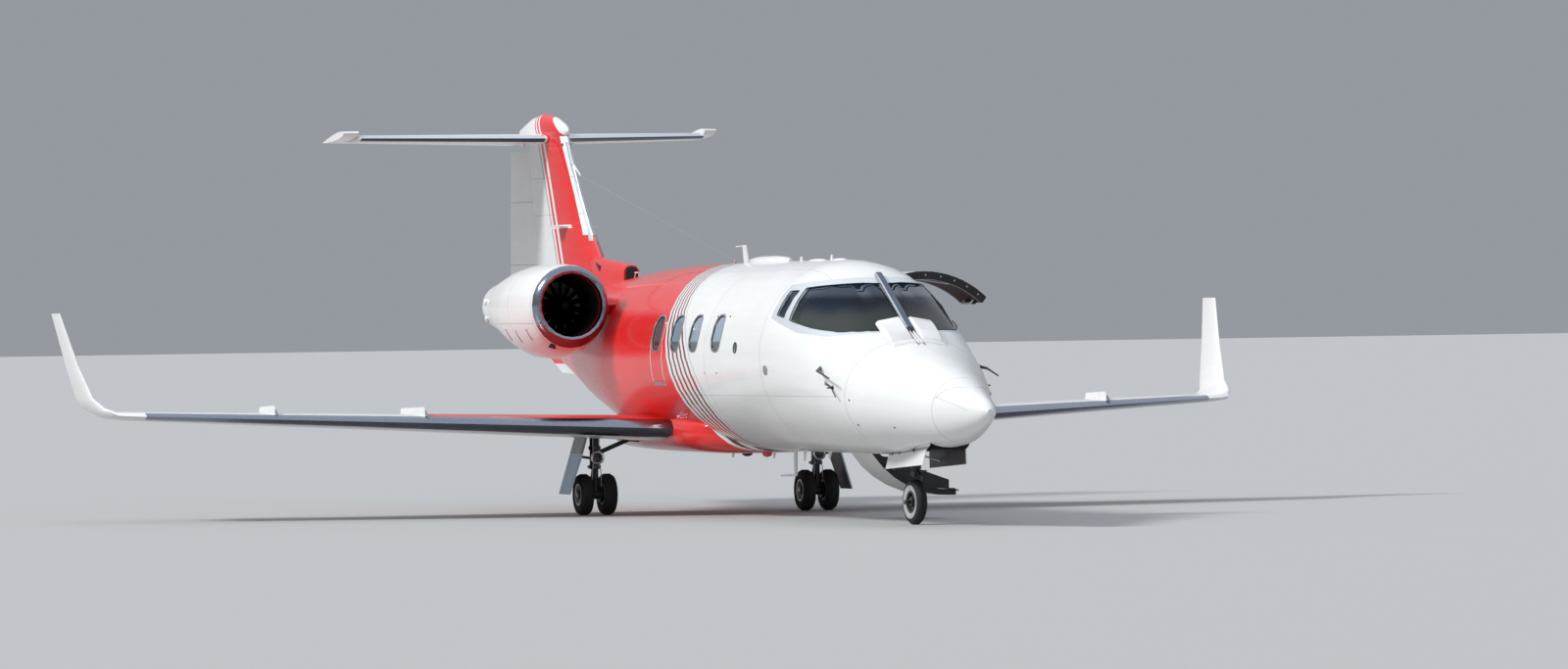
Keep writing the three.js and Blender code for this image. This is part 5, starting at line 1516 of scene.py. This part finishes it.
def on_nacelle(x, angle, side, rise=0.0):
    """A point on a nacelle at X and an angle in degrees, 0 outboard and -90 below, lifted off the skin."""
    k = row_at(NACELLE, x)
    (x0, *first), (x1, *second) = NACELLE[k], NACELLE[k + 1]
    share = (x - x0) / (x1 - x0)
    half, top, bottom = (a + (b - a) * share for a, b in zip(first, second))
    turn = math.radians(angle)
    reach = top - ENGINE["z"] if angle > 0 else ENGINE["z"] - bottom
    out = Vector((0, side * math.cos(turn), math.sin(turn)))
    middle = at(x, side * ENGINE["y"], ENGINE["z"])
    return middle + Vector((0, side * half * math.cos(turn), reach * math.sin(turn))) + out * rise


def build_engines():
    """Dresses the nacelles, pylons, fans and cores, with the cowl's latches, inlet and bumps."""
    for side, name in SIDES:
        dressed("nacelle_" + name, ["nacelle_paint", "intake_paint"], sharp=42, zone=nacelle_zone)
        dressed("pylon_" + name, "red_paint", sharp=45)
        dressed("engine_core_" + name, "burnt_metal", sharp=40)
        dressed("fan_" + name, "fan_painted_shade", sharp=30)
        latches = []
        for x in (-1.500, -1.100, -0.720):
            latches.append(sweep([on_nacelle(x, a, side, 0.001) for a in range(-27, -44, -4)], 0.003, 6))
        joined("cowl_latches_" + name, latches, "dark_metal")
        # A dark patch on the cowl: painted shade of the inlet's opening.
        corners = ((-0.545, -61), (-0.440, -60), (-0.430, -67), (-0.520, -71))
        inlet = loft([[on_nacelle(x, a, side, rise) for x, a in corners] for rise in (-0.002, 0.004)])
        piece("cowl_inlet_" + name, *inlet, "rubber_seal")
        bumps = []
        for x, a in ((-2.60, 10), (-2.78, -30)):
            out = Vector((0.2, side * math.cos(math.radians(a)), math.sin(math.radians(a))))
            bumps.append(dome(on_nacelle(x, a, side), out, 0.038, 0.026))
        joined("cowl_bumps_" + name, bumps, "white_paint")


# Landing gear


def inner_face(middle, normal):
    """The side of a gear door that faces the middle of the aircraft."""
    return int(normal.y * middle.y < -0.02)


# A main leg's collars by height, its pins as X, height and half length, and a brake pipe as X, distance
# from the leg's middle and height
COLLARS = (0.496, 0.700, 0.830)
PINS = ((-0.130, 0.386, 0.045), (-0.042, 0.300, 0.050), (-0.052, 0.520, 0.064))
BRAKE_PIPE = (
    (0.050, 0.034, 0.880), (0.052, 0.034, 0.540), (0.070, 0.046, 0.470), (0.066, 0.052, 0.360),
    (0.030, 0.056, 0.290),
)
BRAKE_PACK = ((0.034, 0.041), (0.086, 0.041), (0.090, 0.046), (0.086, 0.0635), (0.034, 0.0635))


def leg_details(side, name):
    """Collars and pins on the leg, its brake pipes and the brake packs between the wheels."""
    y = side * TRACK_HALF
    profile = [(0.057, 0.0), (0.066, 0.006), (0.066, 0.040), (0.057, 0.046)]
    shapes = [lathe(profile, at(0, y, z), UP, 28) for z in COLLARS]
    shapes += [lathe([(0.013, -half), (0.013, half)], at(x, y, z), (0, 1, 0), 14) for x, z, half in PINS]
    joined("leg_collars_" + name, shapes, "dark_metal")
    pipes = [sweep([at(x, y + way * out, z) for x, out, z in BRAKE_PIPE], 0.0055, 8) for way in (1, -1)]
    joined("brake_pipes_" + name, pipes, "satin_metal")
    packs = [lathe(BRAKE_PACK, at(0, y, AXLE_Z), (0, way, 0), 30) for way in (1, -1)]
    joined("brake_packs_" + name, packs, "dark_metal")


def wheel_bolts(side, name):
    """A ring of bolts in the recess of each wheel's outer face, and the cap at its middle."""
    circle, recess, face = 0.076, 0.1575, 0.1958
    y = side * TRACK_HALF
    bolt = ((0.0065, 0.0), (0.0065, 0.008), (0.004, 0.010))
    cap = ((0.030, 0.0), (0.030, 0.006), (0.020, 0.012), (0.005, 0.013))
    shapes = []
    for way in (1, -1):
        for turn in turns(9):
            place = at(circle * math.cos(turn), y + way * recess, AXLE_Z + circle * math.sin(turn))
            shapes.append(lathe(bolt, place, (0, way, 0), 6))
        shapes.append(lathe(cap, at(0, y + way * face, AXLE_Z), (0, way, 0), 24))
    joined("wheel_bolts_" + name, shapes, "satin_metal", "main_wheels_" + name)


def build_main_gear():
    """Dresses the main legs, wheels and doors."""
    for side, name in SIDES:
        dressed("main_leg_" + name, "gear_black_and_painted_shade", sharp=35, bevel=0.004)
        # The door's inner face is black as painted shade.
        finishes = ["gear_door_paint", "gear_black_and_painted_shade"]
        dressed("main_gear_door_" + name, finishes, sharp=30, bevel=0.003, zone=inner_face)
        for where in ("outer", "inner"):
            dressed("main_rim_%s_%s" % (name, where), "wheel_paint", sharp=35, bevel=0.002)
            dressed("main_tyre_%s_%s" % (name, where), "tyre_rubber", sharp=50)
        leg_details(side, name)
        wheel_bolts(side, name)


def steered(ahead, out, z):
    """A point of the steered nose gear, from its distances ahead of and to port of the steering axis."""
    cos, sin = math.cos(STEERED), math.sin(STEERED)
    return at(NOSE_STEER_X + ahead * cos - out * sin, ahead * sin + out * cos, z)


def on_nose_wheel(radius, turn, out):
    """A point of the nose wheel: its distance and angle about the axle, and how far to port it lies."""
    ahead = NOSE_AXLE_X - NOSE_STEER_X + radius * math.cos(turn)
    return steered(ahead, out, NOSE_AXLE_Z + radius * math.sin(turn))


def nose_door(side, name):
    """A nose gear door with the fittings on its hinge line and its rod."""
    # The door's inner face is black as painted shade.
    finishes = ["nose_door_paint", "gear_black_and_painted_shade"]
    dressed("nose_gear_door_" + name, finishes, sharp=30, bevel=0.003, zone=inner_face)
    fittings = []
    for x in (6.960, 7.180, 7.620):
        z = HINGE_LINE["z"] + (x - HINGE_LINE["x"]) * HINGE_LINE["slope"]
        fittings.append(block(at(x - 0.014, side * 0.212, z - 0.020), at(x + 0.014, side * 0.224, z + 0.014)))
    joined("nose_door_fittings_" + name, fittings, "dark_metal", bevel=0.003)
    rod = sweep([at(7.120, side * 0.060, 0.690), at(7.160, side * 0.220, 0.640)], 0.009, 10)
    piece("nose_door_rod_" + name, *rod, "satin_metal")


# The nose wheel's raised ring, as radius and distance from the wheel's middle
HUB_RING = (
    (0.113, 0.0425), (0.113, 0.0470), (0.135, 0.0525), (0.158, 0.0580), (0.168, 0.0570), (0.168, 0.0500),
)


def build_nose_gear():
    """Dresses the nose leg, wheel and doors."""
    for node in ("nose_strut", "nose_fork"):
        dressed(node, "gear_black_and_painted_shade", sharp=35, bevel=0.004)
    dressed("nose_rim", "wheel_paint", sharp=35, bevel=0.002)
    dressed("nose_tyre", "tyre_rubber", sharp=50)
    for side, name in SIDES:
        nose_door(side, name)
    axle = Vector((-math.sin(STEERED), math.cos(STEERED), 0))
    circle, recess, face = 0.070, 0.0118, 0.100
    bolts, caps = [], []
    for way, where in ((1, "inner"), (-1, "outer")):
        for turn in turns(8):
            place = on_nose_wheel(circle, turn, way * recess)
            bolts.append(lathe([(0.006, 0.0), (0.006, 0.008), (0.004, 0.010)], place, axle * way, 6))
        rings = [[on_nose_wheel(radius, turn, way * out) for radius, out in HUB_RING] for turn in turns(64)]
        piece("nose_hub_ring_" + where, *loft(rings, closed=True), "wheel_paint", "nose_wheel", sharp=60)
        cap = [(0.026, 0.0), (0.026, 0.010), (0.014, 0.018)]
        caps.append(lathe(cap, on_nose_wheel(0, 0, way * face), axle * way, 20))
    joined("nose_wheel_bolts", bolts, "satin_metal", "nose_wheel")
    links = sweep([steered(0.046, 0, 0.552), steered(0.108, 0, 0.500), steered(0.046, 0, 0.470)], 0.010, 8)
    joined("nose_fork_fittings", caps + [links], "dark_metal", "nose_fork")


# Aerials, probes and lights


def build_aerials():
    """Adds the taut wire from the crown to the fin."""
    post, mast = at(*WIRE["post"]), at(*WIRE["mast"])
    curve = bpy.data.curves.new("wire_line", "CURVE")
    curve.dimensions = "3D"
    curve.bevel_depth = WIRE["diameter"] / 2
    curve.bevel_resolution = 3
    line = curve.splines.new("POLY")
    count = 15
    line.points.add(count - 1)
    for k in range(count):
        line.points[k].co = (*post.lerp(mast, k / (count - 1)), 1)
    wire = bpy.data.objects.new("wire_line", curve)
    bpy.context.scene.collection.objects.link(wire)
    curve.materials.append(finish_of("satin_metal"))
    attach(wire, "airframe")
    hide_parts("aerial_wire")


# A flow vane's hub as radius and distance out, and its two blades as X and height from the hub
VANE_HUB = ((0.022, -0.004), (0.022, 0.006), (0.008, 0.010), (0.007, 0.060))
VANE_BLADES = (
    ((0.010, -0.012), (-0.150, 0.030), (-0.150, 0.050), (0.010, 0.010)),
    ((-0.006, 0.0), (0.010, 0.0), (0.150, -0.088), (0.140, -0.098)),
)
# Blades below the belly: X, top, bottom
BELLY_BLADES = ((2.43, 0.690, 0.615), (3.47, 0.705, 0.600), (1.00, 0.690, 0.610), (4.30, 0.705, 0.630))
BELLY_BEACON = ((0.050, 0.04), (0.055, 0.0), (0.052, -0.020), (0.036, -0.038), (0.010, -0.046))
BELLY_DOME = ((0.055, 0.04), (0.060, 0.0), (0.055, -0.022), (0.036, -0.036), (0.010, -0.042))


def build_probes():
    """Adds the pitot heads, the flow vanes and the fittings below the belly."""
    for side, name in SIDES:
        path = [on_side(6.56, 1.586, side) - Vector((0.03, 0, 0))]
        path += [at(6.66, side * 0.905, 1.560), at(6.72, side * 0.905, 1.548), at(7.014, side * 0.900, 1.487)]
        piece("pitot_head_" + name, *sweep(path, [0.020, 0.013, 0.011, 0.008], 12), "dark_metal")
        hub = on_side(6.86, 1.389, side)
        out = Vector((0, side, 0))
        shapes = [lathe(VANE_HUB, hub, out, 16)]
        for blade in VANE_BLADES:
            shapes.append(slab([hub + out * 0.012 + Vector((x, 0, z)) for x, z in blade], out * 0.006))
        joined("flow_vane_" + name, shapes, "dark_metal")
    post = sweep([at(3.144, 0, 0.705), at(3.140, 0, 0.455)], [0.022, 0.018], 12)
    boom = sweep([at(3.150, 0, 0.452), at(3.100, 0, 0.446), at(2.640, 0, 0.436)], [0.016, 0.014, 0.008], 10)
    joined("belly_mast", (post, boom), "white_paint")
    half = 0.004
    blades = []
    for x, top, low in BELLY_BLADES:
        corners = ((x + 0.05, top), (x - 0.05, top), (x - 0.045, low), (x - 0.01, low))
        blades.append(slab([at(along, -half, z) for along, z in corners], (0, 2 * half, 0)))
    joined("belly_blades", blades, "white_paint")
    piece("belly_beacon", *lathe(BELLY_BEACON, at(2.17, 0, 0.672), UP, 24), "red_lens")
    piece("belly_dome", *lathe(BELLY_DOME, at(1.48, 0, 0.668), UP, 24), "dark_metal")


def build_lights():
    """Adds the beacon on the fin, the taxi lamps and the tail's lamps."""
    beacon = [(0.040, -0.020), (0.038, 0.0), (0.030, 0.012), (0.012, 0.018)]
    piece("fin_beacon", *lathe(beacon, at(-5.930, 0, 4.447), UP, 24), "red_lens")
    glass = [(0.060, 0.0), (0.060, 0.006), (0.050, 0.013), (0.025, 0.018), (0.004, 0.019)]
    bezel = [(0.060, 0.0), (0.072, -0.004), (0.075, 0.008), (0.066, 0.014), (0.060, 0.010)]
    for side, name in SIDES:
        middle = at(0.105, side * TRACK_HALF, 0.620)
        piece("taxi_lamp_" + name, *lathe(glass, middle, FORWARD, 32), "lamp_bowl")
        piece("taxi_lamp_ring_" + name, *lathe(bezel, middle, FORWARD, 32), "polished_metal")
        shade = dome(at(-5.108, side * 0.049, 4.089), (0.14, side, 0.1), 0.022, 0.006, 16)
        piece("fin_lamp_" + name, *shade, "display_glass")
        lamp = dome(at(-5.888, side * 0.284, 4.121), (0, 0, -1), 0.030, 0.035, 16)
        piece("tail_lamp_" + name, *lamp, "clear_lens")


# Stage


def build_camera(lens):
    """The camera at the place and the angle that the photo was taken from."""
    data = bpy.data.cameras.new("photo_camera")
    data.lens = lens
    data.sensor_width = CAMERA["sensor"]
    data.clip_start, data.clip_end = 1.0, FLOOR_SIZE
    camera = bpy.data.objects.new("photo_camera", data)
    bearing, tilt, roll = (math.radians(CAMERA[key]) for key in ("bearing", "tilt", "roll"))
    ahead = Vector((-math.cos(bearing), math.sin(bearing), 0))
    right = Vector((math.sin(bearing), math.cos(bearing), 0))
    up = Vector(UP) * math.cos(tilt) + ahead * math.sin(tilt)
    look = ahead * math.cos(tilt) - Vector(UP) * math.sin(tilt)
    screen_x = right * math.cos(roll) - up * math.sin(roll)
    screen_y = right * math.sin(roll) + up * math.cos(roll)
    turn = Matrix((screen_x, screen_y, -look)).transposed().to_4x4()
    camera.matrix_world = Matrix.Translation(CAMERA["place"]) @ turn
    return camera


def build_walls(world, studio):
    """Soft light that is brighter overhead."""
    world.use_nodes = True
    walls = Finish(world.node_tree)
    direction = walls.add("ShaderNodeTexCoord").outputs["Generated"]
    rise = Value(walls, walls.add("ShaderNodeSeparateXYZ", {}, {"Vector": direction}).outputs["Z"])
    tint = walls.mix(rise.ease(0.05, 0.75), tuple(studio.walls), tuple(studio.ceiling))
    shader = walls.add("ShaderNodeBackground", {}, {"Color": tint, "Strength": 1.0}).outputs[0]
    walls.close(shader, "ShaderNodeOutputWorld")


def build_stage():
    """Makes the camera, the floor and the lights."""
    scene = bpy.context.scene
    studio = scene.aircraft_studio
    bpy.ops.mesh.primitive_plane_add(size=FLOOR_SIZE, location=(0, 0, 0))
    floor = bpy.context.object
    floor.name = "studio_floor"
    floor.data.materials.append(finish_of("floor_finish"))
    scene.camera = build_camera(studio.lens)
    scene.collection.objects.link(scene.camera)
    scene.view_settings.view_transform = "Standard"
    lamp = bpy.data.lights.new("key_light", "SUN")
    lamp.energy = studio.key_power
    lamp.angle = math.radians(SUN["spread"])
    key = bpy.data.objects.new("key_light", lamp)
    scene.collection.objects.link(key)
    key.rotation_euler = Vector(SUN["from"]).to_track_quat("Z", "Y").to_euler()
    scene.world = bpy.data.worlds.new("studio_walls")
    build_walls(scene.world, studio)


# Operators and panel


def operator_for(builder):
    """An Operator class that runs one builder, named and described by it."""
    key = builder.__name__.removeprefix("build_")

    def execute(self, context):
        builder()
        return {"FINISHED"}

    return type("AIRCRAFT_OT_" + key, (bpy.types.Operator,), {
        "bl_idname": "aircraft." + key,
        "bl_label": key.replace("_", " ").capitalize(),
        "__doc__": builder.__doc__,
        "execute": execute,
    })


STEPS = [operator_for(builder) for builder in (
    build_stage,
    build_aerials,
    build_fuselage,
    build_cockpit_glazing,
    build_cabin_windows,
    build_upper_door,
    build_lower_door,
    build_doorway,
    build_cabin,
    build_stretcher,
    build_crew_seats,
    build_wings,
    build_tail,
    build_engines,
    build_main_gear,
    build_nose_gear,
    build_probes,
    build_lights,
)]


class AIRCRAFT_PT_panel(bpy.types.Panel):
    """Lists the aircraft's steps and settings."""

    bl_label = "Air Ambulance Aircraft"
    bl_idname = "AIRCRAFT_PT_panel"
    bl_space_type = "VIEW_3D"
    bl_region_type = "UI"
    bl_category = "Aircraft"

    def draw(self, context):
        for name in GROUPS:
            group = getattr(context.scene, name)
            for key in group.__annotations__:
                self.layout.prop(group, key)
        for step in STEPS:
            self.layout.operator(step.bl_idname)


GROUPS = {
    "aircraft_paint": PaintSettings,
    "aircraft_studio": StudioSettings,
    "aircraft_detail": DetailSettings,
}
CLASSES = (*GROUPS.values(), *STEPS, AIRCRAFT_PT_panel)


def register():
    for cls in CLASSES:
        bpy.utils.register_class(cls)
    for key, group in GROUPS.items():
        setattr(bpy.types.Scene, key, PointerProperty(type=group))


def unregister():
    for key in GROUPS:
        delattr(bpy.types.Scene, key)
    for cls in reversed(CLASSES):
        bpy.utils.unregister_class(cls)


def main():
    register()
    for step in STEPS:
        getattr(bpy.ops.aircraft, step.bl_idname.split(".")[1])()
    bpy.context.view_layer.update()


if __name__ == "__main__":
    main()
